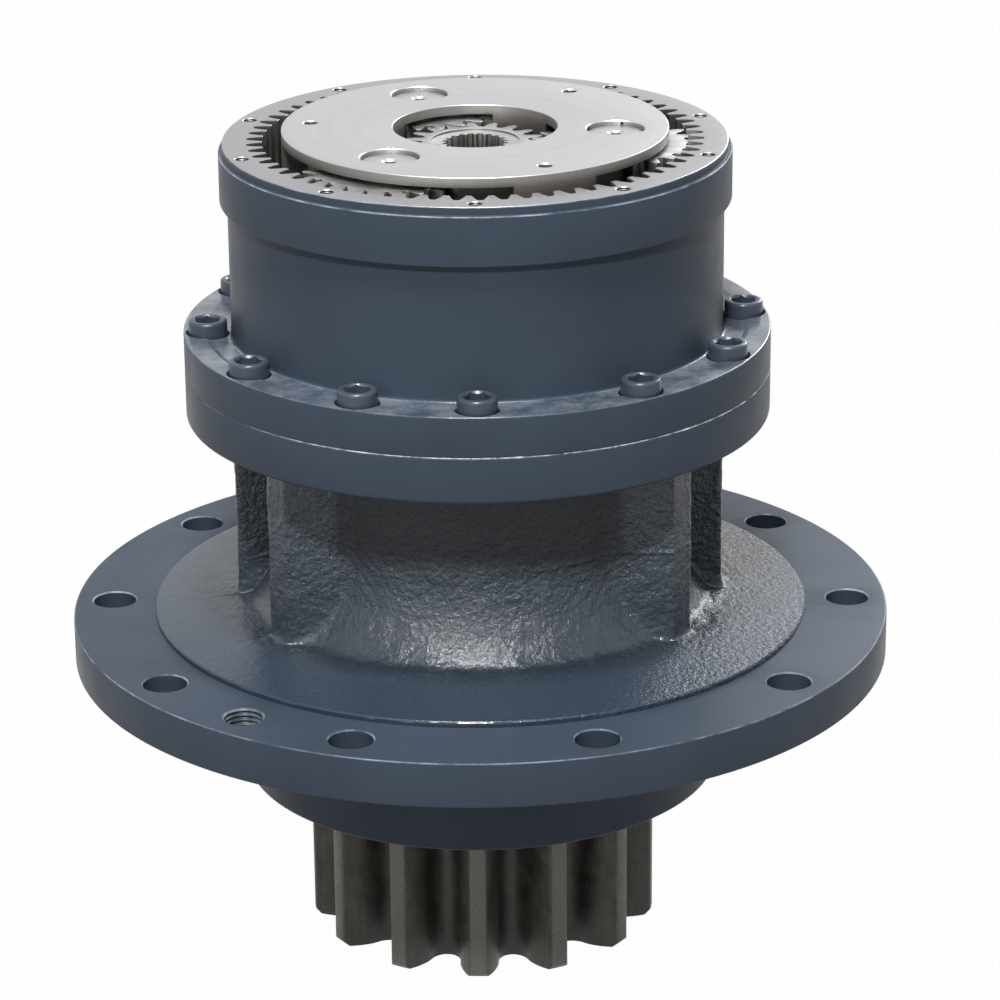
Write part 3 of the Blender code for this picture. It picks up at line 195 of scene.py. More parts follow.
# %% [markdown]
# ## Studio
# The floor is pale and plain. The key lamp stands in front and high up, so the upper flange
# throws its shadow on the neck as in the photograph. An overhead lamp makes the foot of the
# neck glint, one behind gives the flat paint its sheen, and a weak one fills the left side.
# The background is white only where the camera or a reflection looks at it. Diffuse light from
# the sky stays lower, so the paint keeps the colour that it is given.

# %% Build the studio
SKY_LEVEL = 0.125
FLOOR_SIZE = 14.0
FLOOR_GLOW = 0.98
FLOOR_GREY = 0.36
WHITE = tone(1.0, 1.0, 1.0)
LAMP_DISTANCE = 3.0
LAMPS = {  # bearing and height in degrees, size in metres, power in watts
    "key": (-97.0, 46.0, 0.30, 98.0),
    "overhead": (-95.0, 75.0, 0.50, 118.0),
    "sheen": (60.0, 24.0, 1.3, 44.0),
    "left": (-120.0, 14.0, 0.9, 11.0),
}


def emptied(holder):
    """The node tree of a material or a world, cleared of its first nodes."""
    holder.use_nodes = True
    holder.node_tree.nodes.clear()
    return Network(holder.node_tree)


def white_where_seen(net, dim, bright):
    """One for rays from the camera, mirrors and glass, and otherwise the dimmer level."""
    path = net.tree.nodes.new("ShaderNodeLightPath")
    seen = net.maths("MAXIMUM", path.outputs["Is Camera Ray"], path.outputs["Is Glossy Ray"])
    seen = net.maths("MAXIMUM", seen, path.outputs["Is Transmission Ray"])
    return net.ramp(seen, 0.0, 1.0, dim, bright)


def build_world():
    """A white surrounding that lights the object softly."""
    world = bpy.data.worlds.new("studio")
    net = emptied(world)
    strength = white_where_seen(net, SKY_LEVEL, 1.0)
    glow = net.add("ShaderNodeBackground", {"Color": WHITE, "Strength": strength})
    net.add("ShaderNodeOutputWorld", {"Surface": glow})
    bpy.context.scene.world = world


def build_floor():
    """A pale floor that keeps the object's shadow and is nearly white to the camera."""
    shape = bmesh.new()
    bmesh.ops.create_grid(shape, x_segments=1, y_segments=1, size=FLOOR_SIZE / 2.0)
    mesh = bpy.data.meshes.new("floor")
    shape.to_mesh(mesh)
    shape.free()
    material = bpy.data.materials.new("pale_floor")
    net = emptied(material)
    matt = net.add("ShaderNodeBsdfDiffuse", {"Color": tone(FLOOR_GREY, FLOOR_GREY, FLOOR_GREY)})
    glow = net.add("ShaderNodeEmission", {"Color": WHITE, "Strength": 1.0})
    share = white_where_seen(net, 0.0, FLOOR_GLOW)
    both = net.add("ShaderNodeMixShader", {0: share, 1: matt, 2: glow})
    net.add("ShaderNodeOutputMaterial", {"Surface": both})
    mesh.materials.append(material)
    new_object("floor", mesh)


def build_lamp(name, bearing, height, size, power):
    """A square soft lamp that faces the middle of the object."""
    data = bpy.data.lights.new(name, "AREA")
    data.size = size
    data.energy = power
    lamp = new_object(name, data)
    turn, tilt = math.radians(bearing), math.radians(height)
    flat = math.cos(tilt)
    direction = Vector((math.cos(turn) * flat, math.sin(turn) * flat, math.sin(tilt)))
    lamp.location = Vector((0.0, 0.0, PLATE_TOP / 2.0)) + direction * LAMP_DISTANCE
    lamp.rotation_euler = direction.to_track_quat("Z", "Y").to_euler()


build_world()
build_floor()
for name, numbers in LAMPS.items():
    build_lamp(name, *numbers)
print("studio lamps:", list(LAMPS))

# %% [markdown]
# ## Paint
# The housing wears one coat of slate paint. On machined faces it lies smooth, with a faint
# orange peel. On the sand casting it follows every grain of the mould, so the same colour
# looks coarse there. High between the ribs, under the joint flange, it is darkened nearly to
# black as painted shade, and the top of the ring gear's flange is lightened in patches as a
# painted sheen. Corners that get knocked shine a little brighter. Position on the object
# decides where that wear is, so it never slides when the camera moves.

# %% Paint materials
SLATE = tone(0.029, 0.039, 0.056)
SLATE_DEEP = tone(0.023, 0.032, 0.046)
SLATE_WORN = tone(0.34, 0.37, 0.41)
SLATE_SKIRT = tone(0.019, 0.028, 0.042)
CAST_TINT = tone(0.027, 0.039, 0.054)
CAST_DEEP = tone(0.018, 0.027, 0.038)
CAST_DUST = tone(0.048, 0.064, 0.078)
# Painted shade: the nearly black tint and the bounds of the dark zone high between the ribs, under the joint
# flange.
RECESS_SHADE_TINT = tone(0.008, 0.010, 0.013)
SHADED_RECESS_BOTTOM = 0.228
SHADED_RECESS_RADIUS = 0.1045
SKIRT_SPREAD = (0.126, 0.138)
FILLET_HEIGHTS = (0.186, 0.218)
PEBBLED_SIDE = (0.01, 0.10)
WEAR_WIDTH = 0.8 * MM


def new_material(name):
    """A material with only its output and a Principled shader, ready to be wired."""
    material = bpy.data.materials.new(name)
    material.use_nodes = True
    net = Network(material.node_tree)
    return material, net, net.add("ShaderNodeTexCoord", output=3)


def wired(material, colour, roughness, bump, metallic=0.0, specular=0.5):
    """The material with its shader joined up, where bump is height, strength and distance."""
    net = Network(material.node_tree)
    shader = net.tree.nodes["Principled BSDF"]
    relief = net.add("ShaderNodeBump", dict(zip(("Height", "Strength", "Distance"), bump)))
    for name, value in (("Base Color", colour), ("Roughness", roughness), ("Normal", relief)):
        net.tree.links.new(value, shader.inputs[name])
    shader.inputs["Metallic"].default_value = metallic
    shader.inputs["Specular IOR Level"].default_value = specular
    return material


def radius_and_height(net, place):
    """The distance from the main axis, and the height, of a point on the object."""
    x, y, z = net.split(place)
    flat = net.add("ShaderNodeCombineXYZ", {"X": x, "Y": y})
    return net.add("ShaderNodeVectorMath", {0: flat}, output=1, operation="LENGTH"), z


def near(net, value, centre):
    """One at a value, falling to nothing at the width of the wear."""
    away = net.maths("ABSOLUTE", net.maths("SUBTRACT", value, centre))
    return net.ramp(away, WEAR_WIDTH * 0.45, WEAR_WIDTH, 1.0, 0.0)


def smooth_paint(name, edges=(), gloss=0.0, chips_and_sheen=0.0):
    """Paint on machined faces, worn along edges given as (radius, height, amount).
    A share for the whole face lightens it in patches: paint chips at the hole mouths, and a
    painted sheen on the ring flange's top.
    """
    material, net, place = new_material(name)
    cloud = net.noise(place, 14.0, 4.0)
    peel = net.noise(place, 900.0, 2.0)
    grain = net.noise(place, 2400.0, 2.0)
    colour = net.mix(net.ramp(cloud, 0.35, 0.68), SLATE, SLATE_DEEP)
    radius, height = radius_and_height(net, place)
    worn = chips_and_sheen
    for edge_radius, edge_height, amount in edges:
        band = net.times(near(net, radius, edge_radius), near(net, height, edge_height))
        worn = net.maths("MAXIMUM", worn, net.times(band, amount))
    patches = net.ramp(net.noise(place, 55.0, 5.0, 0.7), 0.38, 0.62)
    colour = net.mix(net.times(worn, patches), colour, SLATE_WORN)
    rough = net.ramp(net.noise(place, 30.0, 3.0), 0.3, 0.7, 0.36 - gloss, 0.46 - gloss)
    surface = net.plus(peel, net.times(grain, 0.35))
    return wired(material, colour, rough, (surface, 0.10, 0.0004), specular=0.12 + 2.6 * gloss)


def cast_relief(net, place, grain, fine, skirt, height):
    """Grains and pits of the sand, weak on the fillet and strong on the skirt's right side."""
    inputs = {"Vector": place, "Scale": 360.0, "Smoothness": 0.6}
    pits = net.add("ShaderNodeTexVoronoi", inputs, feature="SMOOTH_F1")
    pebbles = net.ramp(net.split(place)["X"], *PEBBLED_SIDE, 0.12, 1.0)
    on_skirt = net.times(skirt, net.times(pebbles, 2.0))
    share = net.plus(on_skirt, net.maths("SUBTRACT", 1.0, skirt))
    surface = net.plus(grain, net.times(fine, 0.6))
    surface = net.maths("SUBTRACT", surface, net.times(pits, 0.55))
    share = net.times(share, net.ramp(height, *FILLET_HEIGHTS, 0.42, 1.0))
    return net.times(surface, share)


def cast_paint(name, specular):
    """Paint on the sand casting: coarse grain, dust, and painted shade high between the ribs."""
    material, net, place = new_material(name)
    grain = net.noise(place, 430.0, 3.0, 0.6)
    fine = net.noise(place, 1100.0, 2.0, 0.6)
    radius, height = radius_and_height(net, place)
    skirt = net.ramp(radius, *SKIRT_SPREAD)
    surface = cast_relief(net, place, grain, fine, skirt, height)
    tint = net.mix(net.ramp(grain, 0.38, 0.66), CAST_DEEP, CAST_TINT)
    dusty = net.ramp(net.noise(place, 60.0, 4.0, 0.65), 0.50, 0.75, 0.0, 0.45)
    tint = net.mix(dusty, tint, CAST_DUST)
    tint = net.mix(skirt, tint, SLATE_SKIRT)
    # Painted shade: high between the ribs, under the joint flange, the casting is darkened nearly to black and
    # made rougher, in place of the shadow and dim light there.
    wander = net.times(net.noise(place, 45.0, 3.0), 0.012)
    low = net.ramp(net.plus(height, wander), SHADED_RECESS_BOTTOM, SHADED_RECESS_BOTTOM + 0.010)
    inner = net.ramp(radius, SHADED_RECESS_RADIUS, SHADED_RECESS_RADIUS + 0.0035, 1.0, 0.0)
    painted_shade = net.times(low, inner)
    tint = net.mix(net.times(painted_shade, 0.92), tint, RECESS_SHADE_TINT)
    rough = net.plus(net.ramp(fine, 0.3, 0.7, 0.17, 0.33), net.times(painted_shade, 0.35))
    return wired(material, tint, rough, (surface, 0.9, 0.0010), specular=specular)


# %% [markdown]
# ## Bare steel
# The carrier plate and the top of the ring gear are turned on a lathe, so fine rings run round
# their axis. A noise that depends only on the radius gives those rings. Ground gear flanks show
# no rings, only a fine grain, and their upright faces are darker: partly oil, partly painted
# shade for the dark gaps between teeth. The pinion is hardened, and the heat leaves it dark
# with a brown tinge and cloudy patches. All steel gets slight stains, because oil and hands
# always leave some.


# %% Steel materials
def drawn_out(net, place, height):
    """Places squeezed in height, so that a noise on them runs in upright streaks."""
    return net.add("ShaderNodeMapping", {"Vector": place, "Scale": (1.0, 1.0, height)})


def turned_steel(name, bright, dull):
    """Steel with fine lathe rings round the main axis."""
    material, net, place = new_material(name)
    radius = radius_and_height(net, place)[0]
    ring_place = net.add("ShaderNodeCombineXYZ", {"X": radius, "Z": 0.3})
    rings = net.noise(ring_place, 1700.0, 2.0, 0.7)
    broad = net.noise(ring_place, 140.0, 3.0, 0.6)
    stains = net.ramp(net.noise(place, 38.0, 6.0, 0.62), 0.56, 0.78, 0.0, 0.55)
    colour = net.mix(net.ramp(broad, 0.3, 0.7, 0.0, 0.35), bright, dull)
    colour = net.mix(net.times(stains, 0.5), colour, tone(0.30, 0.28, 0.25))
    rough = net.plus(net.ramp(rings, 0.3, 0.7, 0.30, 0.44), net.times(stains, 0.2))
    return wired(material, colour, rough, (rings, 0.10, 0.0003), metallic=1.0)


def ground_steel(name, bright, dull, shine=0.32, cloud=45.0):
    """Steel with a fine grain and cloudy patches."""
    material, net, place = new_material(name)
    grain = net.noise(drawn_out(net, place, 0.18), 1500.0, 2.0, 0.6)
    patches = net.noise(place, cloud, 5.0, 0.62)
    colour = net.mix(net.ramp(patches, 0.36, 0.66), bright, dull)
    rough = net.ramp(patches, 0.3, 0.7, shine, shine + 0.2)
    return wired(material, colour, rough, (grain, 0.12, 0.0003), metallic=1.0)


def hardened_steel(name, tip):
    """Dark quenched steel with brown clouds and upright streaks, rubbed lighter at its tips."""
    material, net, place = new_material(name)
    streaks = net.noise(drawn_out(net, place, 0.12), 420.0, 4.0, 0.65)
    clouds = net.noise(place, 75.0, 6.0, 0.68)
    grain = net.noise(place, 900.0, 3.0, 0.65)
    dark, brown = tone(0.019, 0.018, 0.015), tone(0.060, 0.056, 0.047)
    tint = net.mix(net.ramp(clouds, 0.36, 0.64), dark, brown)
    tint = net.mix(net.ramp(streaks, 0.45, 0.75, 0.0, 0.45), tint, tone(0.082, 0.077, 0.065))
    radius = radius_and_height(net, place)[0]
    at_tip = net.ramp(radius, tip - 1.3 * MM, tip - 0.2 * MM)
    rubbed = net.times(at_tip, net.ramp(grain, 0.35, 0.6, 0.45, 1.0))
    tint = net.mix(rubbed, tint, tone(0.120, 0.115, 0.100))
    rough = net.ramp(clouds, 0.3, 0.7, 0.40, 0.58)
    return wired(material, tint, rough, (grain, 0.35, 0.0005), metallic=0.35)


def edge_steel(name, bright, stained, low, high):
    """The steel of a plate's rim, stained brown towards its lower edge."""
    material, net, place = new_material(name)
    streaks = net.noise(drawn_out(net, place, 0.1), 260.0, 4.0, 0.65)
    height = radius_and_height(net, place)[1]
    fade = net.ramp(height, low, high, 0.55, 0.0)
    stain = net.plus(fade, net.ramp(streaks, 0.4, 0.7, -0.10, 0.12))
    colour = net.mix(net.ramp(stain, 0.0, 1.0), bright, stained)
    rough = net.ramp(streaks, 0.3, 0.7, 0.42, 0.50)
    return wired(material, colour, rough, (streaks, 0.05, 0.0002), metallic=1.0)


def squeezed_sealant(name):
    """Sealant that was rubbed bright along the front and right of the joint."""
    material, net, place = new_material(name)
    x, y, _ = net.split(place)
    angle = net.maths("ARCTAN2", y, x)
    start = net.ramp(angle, math.radians(-143.0), math.radians(-112.0))
    end = net.ramp(angle, math.radians(12.0), math.radians(32.0), 1.0, 0.0)
    patches = net.ramp(net.noise(place, 120.0, 5.0, 0.7), 0.36, 0.56)
    share = net.times(net.times(start, end), patches)
    colour = net.mix(share, SLATE_DEEP, tone(0.34, 0.37, 0.42))
    rough = net.ramp(patches, 0.0, 1.0, 0.45, 0.32)
    return wired(material, colour, rough, (patches, 0.2, 0.0003))


def plain_stuff(name, colour, other, metallic, roughness):
    """A simple finish with slight changes of tone: bronze, rubber and black oxide."""
    material, net, place = new_material(name)
    patches = net.noise(place, 200.0, 4.0, 0.6)
    mixed = net.mix(net.ramp(patches, 0.35, 0.65), colour, other)
    rough = net.ramp(patches, 0.3, 0.7, roughness, roughness + 0.12)
    return wired(material, mixed, rough, (patches, 0.15, 0.0003), metallic=metallic)


# %% Make the materials
FLANGE_TOP = 174.7 * MM
JOINT_BOTTOM = 281.4 * MM
JOINT_TOP = 325.2 * MM
STEP_RADIUS = 168.0 * MM
STEP_TOP = FLANGE_TOP + 3.0 * MM
BAND = 128.0 * MM
BAND_TOP = 417.4 * MM
REGISTER = 126.0 * MM
STAIN_HEIGHTS = (422.0 * MM, 425.5 * MM)
PINION_TEETH = 13
PINION_MODULE = 12.0 * MM
PINION_TIP = PINION_MODULE * (PINION_TEETH / 2.0 + 1.0)
STEEL_BRIGHT = tone(0.50, 0.503, 0.512)
STEEL_DULL = tone(0.385, 0.385, 0.383)
WORN_EDGES = (
    (FLANGE_RADIUS, FLANGE_TOP, 0.42), (STEP_RADIUS, STEP_TOP, 0.3),
    (JOINT_RADIUS, JOINT_TOP, 0.10), (JOINT_RADIUS, JOINT_BOTTOM, 0.10),
    (BAND, BAND_TOP, 0.55), (REGISTER, 421.6 * MM, 0.55),
)

CAST = cast_paint("slate_paint_on_casting", 0.58)
SKIRT = cast_paint("slate_paint_on_skirt", 0.36)
SMOOTH = smooth_paint("slate_paint_smooth", WORN_EDGES)
SCREW_PAINT = smooth_paint("slate_paint_on_screws", gloss=0.10)
RIM_PAINT = smooth_paint("slate_paint_chipped", chips_and_sheen=0.5)
# Painted sheen: besides its real gloss, the ring flange's top is lightened in patches for the bright reflection
# that lies on it.
GLOSSY_TOP_WITH_SHEEN = smooth_paint("slate_paint_glossy_with_painted_sheen", ((JOINT_RADIUS, JOINT_TOP, 0.12),), 0.19, 0.20)
PLATE = turned_steel("turned_steel_plate", STEEL_BRIGHT, STEEL_DULL)
RING_FACE = turned_steel("turned_steel_ring", tone(0.355, 0.355, 0.368), tone(0.26, 0.26, 0.265))
RIM = edge_steel(
    "stained_plate_rim", tone(0.27, 0.265, 0.25), tone(0.14, 0.12, 0.095), *STAIN_HEIGHTS,
)
GEAR = ground_steel("ground_gear_steel", STEEL_BRIGHT, STEEL_DULL)
# Darker steel for the upright faces of the teeth: partly oil, partly painted shade for the dark gaps between
# teeth.
OILED_SHADED_FLANK = ground_steel(
    "oiled_tooth_flanks_with_painted_shade", tone(0.17, 0.167, 0.16), tone(0.075, 0.072, 0.066), 0.36, 90.0,
)
DARK = hardened_steel("hardened_pinion_steel", PINION_TIP)
RACE = ground_steel("bearing_steel", tone(0.62, 0.62, 0.62), tone(0.55, 0.55, 0.55), 0.18)
BRONZE = plain_stuff("bush_bronze", tone(0.55, 0.36, 0.14), tone(0.42, 0.27, 0.11), 1.0, 0.35)
BLACK = plain_stuff("black_oxide", tone(0.05, 0.05, 0.05), tone(0.03, 0.03, 0.03), 1.0, 0.45)
RUBBER = plain_stuff(
    "seal_rubber", tone(0.018, 0.018, 0.018), tone(0.012, 0.012, 0.012), 0.0, 0.55,
)
SEALANT = squeezed_sealant("sealant_bead")
print("materials:", len(bpy.data.materials))

# %% [markdown]
# ## Finishes for the inner nodes
# Bearings, bushes, the seal, the second stage and the lock pins hardly show. Their CAD shapes
# are right, so they stay as they are and only take a finish, by the slot that the record gives
# each of them.

# %% Finish the CAD nodes
BY_SLOT = {
    "slate_paint": SMOOTH, "machined_steel": GEAR, "pinion_steel": DARK, "bearing_steel": RACE,
    "dark_fastener": BLACK, "bush_bronze": BRONZE, "seal_rubber": RUBBER,
}
for part in frame["record"]["subparts"]:
    node = frame["nodes"][part["node"]]
    node.data.materials.clear()
    node.data.materials.append(BY_SLOT[part["material_slot"]])
print("nodes finished:", len(frame["nodes"]))

# %% [markdown]
# ## Shape helpers
# Turned parts come from an outline of radius and height that is swept round the axis. Real
# outlines have small arcs at their corners, and those arcs catch the light, so the helper
# rounds each corner by its own radius before the sweep.


# %% Define the shape helpers
SOLID_WELD = 0.000002
SHARP_ANGLE = math.radians(32.0)
BEVEL_ANGLE = math.radians(50.0)


def rounded(corners, steps=5):
    """A closed outline of (x, y, radius) corners, each rounded by a curve."""
    points = []
    for k, (x, y, radius) in enumerate(corners):
        here = Vector((x, y))
        back = Vector(corners[k - 1][:2]) - here
        forth = Vector(corners[(k + 1) % len(corners)][:2]) - here
        if radius == 0.0:
            points.append((x, y))
            continue
        run = radius / math.tan(back.angle(forth) / 2.0)
        start = here + back.normalized() * min(run, 0.49 * back.length)
        end = here + forth.normalized() * min(run, 0.49 * forth.length)
        for t in np.linspace(0.0, 1.0, steps).tolist():
            spot = (1.0 - t) ** 2 * start + 2.0 * t * (1.0 - t) * here + t ** 2 * end
            points.append((spot.x, spot.y))
    return points


def make_object(name, shape):
    """Weld a bmesh, point its faces outwards and put it in the scene."""
    bmesh.ops.remove_doubles(shape, verts=shape.verts, dist=SOLID_WELD)
    bmesh.ops.recalc_face_normals(shape, faces=shape.faces)
    mesh = bpy.data.meshes.new(name)
    shape.to_mesh(mesh)
    shape.free()
    return new_object(name, mesh)


def skin(shape, rings):
    """Faces from each ring of points to the next, and from the last ring to the first."""
    for ring, following in zip(rings, rings[1:] + rings[:1]):
        for a in range(len(ring)):
            b = (a + 1) % len(ring)
            if ring[a].co.xy.length > 0.0 or ring[b].co.xy.length > 0.0:
                shape.faces.new((ring[a], following[a], following[b], ring[b]))


def swept(name, outline, steps):
    """Sweep a closed outline of (radius, height) points once round the main axis."""
    shape = bmesh.new()
    rings = []
    for step in range(steps):
        angle = TURN * step / steps
        c, s = math.cos(angle), math.sin(angle)
        rings.append([shape.verts.new((r * c, r * s, z)) for r, z in outline])
    skin(shape, rings)
    return make_object(name, shape)


def settled(piece):
    """Turn a piece's live modifiers into its plain mesh."""
    bpy.context.view_layer.update()
    graph = bpy.context.evaluated_depsgraph_get()
    mesh = bpy.data.meshes.new_from_object(piece.evaluated_get(graph))
    piece.modifiers.clear()
    piece.data = mesh
    return piece


def combined(piece, tool):
    """Cut a piece with a tool, and throw the tool away."""
    step = piece.modifiers.new("shape", "BOOLEAN")
    step.operation = "DIFFERENCE"
    step.object = tool
    step.solver = "EXACT"
    settled(piece)
    bpy.data.objects.remove(tool)
    return piece


def bevelled(piece, width):
    """Break a piece's sharp edges."""
    step = piece.modifiers.new("edge", "BEVEL")
    step.width = width
    step.segments = 2
    step.limit_method = "ANGLE"
    step.angle_limit = BEVEL_ANGLE
    return settled(piece)


def dress(piece, body, slot, nodes, *materials):
    """Shade a finished piece, give it its materials, tie it to its body and hide the CAD nodes that it covers."""
    piece.data.shade_smooth()
    piece.data.set_sharp_from_angle(angle=SHARP_ANGLE)
    piece.data.materials.clear()
    for material in materials:
        piece.data.materials.append(material)
    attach(piece, body)
    if nodes:
        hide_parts(*nodes)
    print("%s: %d faces" % (piece.name, len(piece.data.polygons)))
    return piece


def give(piece, index, chosen):
    """Give the faces that a test chooses another of their piece's materials."""
    for face in piece.data.polygons:
        if chosen(face):
            face.material_index = index


def upright(face):
    """Whether a face is a wall."""
    return abs(face.normal.z) < 0.5


# %% [markdown]
# ## A tree for what repeats
# Holes, screws and gear teeth all repeat round an axis. Geometry Nodes can copy one item to
# many places: this tree makes points on a circle, puts the item on each, turns it to face
# outwards, and makes the copies real so that they become plain mesh. The sizes are named inputs
# of the tree. Two more trees further down use the same helpers.


# %% Build the copying tree
def tree_with(name, sockets):
    """A geometry tree with a geometry output, and inputs given as name: type."""
    tree = bpy.data.node_groups.new(name, "GeometryNodeTree")
    tree.interface.new_socket("Geometry", in_out="INPUT", socket_type="NodeSocketGeometry")
    tree.interface.new_socket("Geometry", in_out="OUTPUT", socket_type="NodeSocketGeometry")
    for label, kind in sockets.items():
        tree.interface.new_socket(label, in_out="INPUT", socket_type="NodeSocket" + kind)
    return tree, Network(tree), tree.nodes.new("NodeGroupInput").outputs


def copied(net, item, points, angle):
    """Real copies of an object on points, each turned by its angle."""
    source = net.add("GeometryNodeObjectInfo", {"Object": item}, output="Geometry")
    turn = net.add("ShaderNodeCombineXYZ", {"Z": angle})
    inputs = {"Points": points, "Instance": source, "Rotation": turn}
    copies = net.add("GeometryNodeInstanceOnPoints", inputs)
    return net.add("GeometryNodeRealizeInstances", {"Geometry": copies})


def turned_by(net, count, phase):
    """The angle of each copy on a circle."""
    index = net.add("GeometryNodeInputIndex")
    return net.plus(net.times(index, net.maths("DIVIDE", TURN, count)), phase)


def hand_out(net, geometry, material):
    """Paint what a tree has made, and send it out."""
    painted = net.add("GeometryNodeSetMaterial", {"Geometry": geometry, "Material": material})
    net.add("NodeGroupOutput", {"Geometry": painted})


def ring_tree():
    """Copies of an item on a circle round the main axis."""
    sockets = {
        "Item": "Object", "Count": "Int", "Radius": "Float", "Phase": "Float",
        "Material": "Material",
    }
    tree, net, given = tree_with("copies_on_a_circle", sockets)
    angle = turned_by(net, given["Count"], given["Phase"])
    x = net.times(net.maths("COSINE", angle), given["Radius"])
    y = net.times(net.maths("SINE", angle), given["Radius"])
    place = net.add("ShaderNodeCombineXYZ", {"X": x, "Y": y})
    points = net.add("GeometryNodePoints", {"Count": given["Count"], "Position": place})
    hand_out(net, copied(net, given["Item"], points, angle), given["Material"])
    return tree


def grown(name, mesh, tree, inputs):
    """A piece made by a tree from named inputs. The objects among them are used up."""
    made = new_object(name, mesh)
    step = made.modifiers.new("tree", "NODES")
    step.node_group = tree
    for socket in tree.interface.items_tree:
        if socket.name in inputs:
            step[socket.identifier] = inputs[socket.name]
    settled(made)
    for item in inputs.values():
        if isinstance(item, bpy.types.Object):
            bpy.data.objects.remove(item)
    return made


RING_TREE = ring_tree()


def on_circle(name, item, count, radius, phase, material=None):
    """A mesh of an item copied round the main axis."""
    inputs = {
        "Item": item, "Count": count, "Radius": radius, "Phase": phase, "Material": material,
    }
    return grown(name, bpy.data.meshes.new(name), RING_TREE, inputs)


# %% [markdown]
# ## The flanges and the spigot
# The main flange and the spigot under it are turned in one cut, so they are sharp and flat
# beside the rough neck. Ten holes take the bolts to the machine's deck. Two threaded holes
# take jacking screws that push the gearbox off again. Each hole is cut by a tool with a small
# cone at its mouth, which leaves the bright rim that the photograph shows.

# %% Make the main flange
FLANGE_BOTTOM = 151.9 * MM
SPIGOT_RADIUS = 123.1 * MM
SEAL_BORE = 80.3 * MM
CORE_RADIUS = 100.0 * MM
MOUNT_CIRCLE = 190.0 * MM
MOUNT_HOLE = 11.0 * MM
MOUNT_HOLES = 10
MOUNT_PHASE = math.radians(-1.2)
JACK_HOLE = 9.4 * MM
JACK_THREAD_PITCH = 2.5 * MM
JACK_PHASE = math.radians(52.7)
EDGE = 1.1 * MM
PAST = 3.0 * MM
SEAL_SEAT = 103.8 * MM
SHOULDER_BORE = 72.0 * MM
BEARING_FLOOR = 108.0 * MM
BEARING_SEAT = 95.3 * MM
BEARING_TOP = 168.0 * MM
PILOT_BORE = 122.3 * MM
PILOT_FLOOR = JOINT_FACE - 9.0 * MM
SEAM = 0.1 * MM
CHIPPED_WIDTH = 13.0 * MM


def drill(name, radius, bottom, top, mouth, steps=48):
    """A cutting tool for a hole, with a cone at each mouth that it breaks through."""
    outline = [
        (0.0, bottom - PAST), (radius + mouth + PAST, bottom - PAST), (radius + mouth, bottom),
        (radius, bottom + mouth), (radius, top - mouth), (radius + mouth, top),
        (radius + mouth + PAST, top + PAST), (0.0, top + PAST),
    ]
    return swept(name, outline, steps)


def tap(name, radius, depth_from, top, pitch, steps=32):
    """A cutting tool for a threaded hole, drawn as a stack of grooves."""
    outline = [(0.0, depth_from)]
    height = depth_from
    while height < top - pitch:
        outline += [(radius, height), (radius + pitch * 0.42, height + pitch / 2.0)]
        height += pitch
    outline += [(radius, height), (radius, top - pitch * 0.4), (radius + pitch * 0.45, top)]
    outline += [(radius + PAST, top + PAST), (0.0, top + PAST)]
    return swept(name, outline, steps)


flange = swept("main_flange", rounded([
    (FLANGE_RADIUS, FLANGE_TOP, EDGE),
    (FLANGE_RADIUS, FLANGE_BOTTOM, 0.8 * MM),
    (SPIGOT_RADIUS, FLANGE_BOTTOM, 0.6 * MM),
    (SPIGOT_RADIUS, SPIGOT_BOTTOM, 1.5 * MM),
    (SEAL_BORE, SPIGOT_BOTTOM, 1.0 * MM),
    (SEAL_BORE, SEAL_SEAT, 0.0),
    (SHOULDER_BORE, SEAL_SEAT, 0.5 * MM),
    (SHOULDER_BORE, BEARING_FLOOR, 0.5 * MM),
    (BEARING_SEAT, BEARING_FLOOR, 0.0),
    (BEARING_SEAT, BEARING_TOP, 0.0),
    (CORE_RADIUS, FLANGE_TOP, 0.0),
]), 256)
holes = drill("mount_drill", MOUNT_HOLE, FLANGE_BOTTOM, FLANGE_TOP, 0.7 * MM)
combined(flange, on_circle("mount_drills", holes, MOUNT_HOLES, MOUNT_CIRCLE, MOUNT_PHASE))
jack = tap("jack_tap", JACK_HOLE, FLANGE_BOTTOM - PAST, FLANGE_TOP, JACK_THREAD_PITCH)
combined(flange, on_circle("jack_taps", jack, 2, MOUNT_CIRCLE, JACK_PHASE))
dress(flange, "housing", "slate_paint", ["lower_housing"], SMOOTH, RIM_PAINT)


def chipped_mouth(face):
    """Whether a face slants inside the mouth of a mounting hole."""
    beside = abs(face.center.xy.length - MOUNT_CIRCLE) < CHIPPED_WIDTH
    return beside and 0.4 < face.normal.z < 0.95


give(flange, 1, chipped_mouth)

# %% Make the housing's joint flange
joint_flange = swept("joint_flange", rounded([
    (JOINT_RADIUS, JOINT_FACE - SEAM, 0.8 * MM),
    (JOINT_RADIUS, JOINT_BOTTOM, 1.8 * MM),
    (CORE_RADIUS, JOINT_BOTTOM, 0.0),
    (CORE_RADIUS, PILOT_FLOOR, 0.0),
    (PILOT_BORE, PILOT_FLOOR, 0.0),
    (PILOT_BORE, JOINT_FACE - SEAM, 0.0),
]), 224)
dress(joint_flange, "housing", "slate_paint", ["lower_housing"], SMOOTH)

# %% [markdown]
# ## The cast neck
# The neck is a barrel with six ribs, three on each side. The end ribs are filled in towards
# the front and the back, which makes the four flat panels beside the barrel. It was poured in
# sand, so every inner corner is a soft fillet and nothing is quite flat.
#
# One way to make it is to join boxes to a cylinder and round the seams, which rarely goes
# well. Here the plan of the neck is a distance field instead: each rib is a few half planes,
# and a smooth minimum melts them into the barrel. Rays from the axis find its edge. The side
# profile then carries that edge from the skirt up to the joint flange.

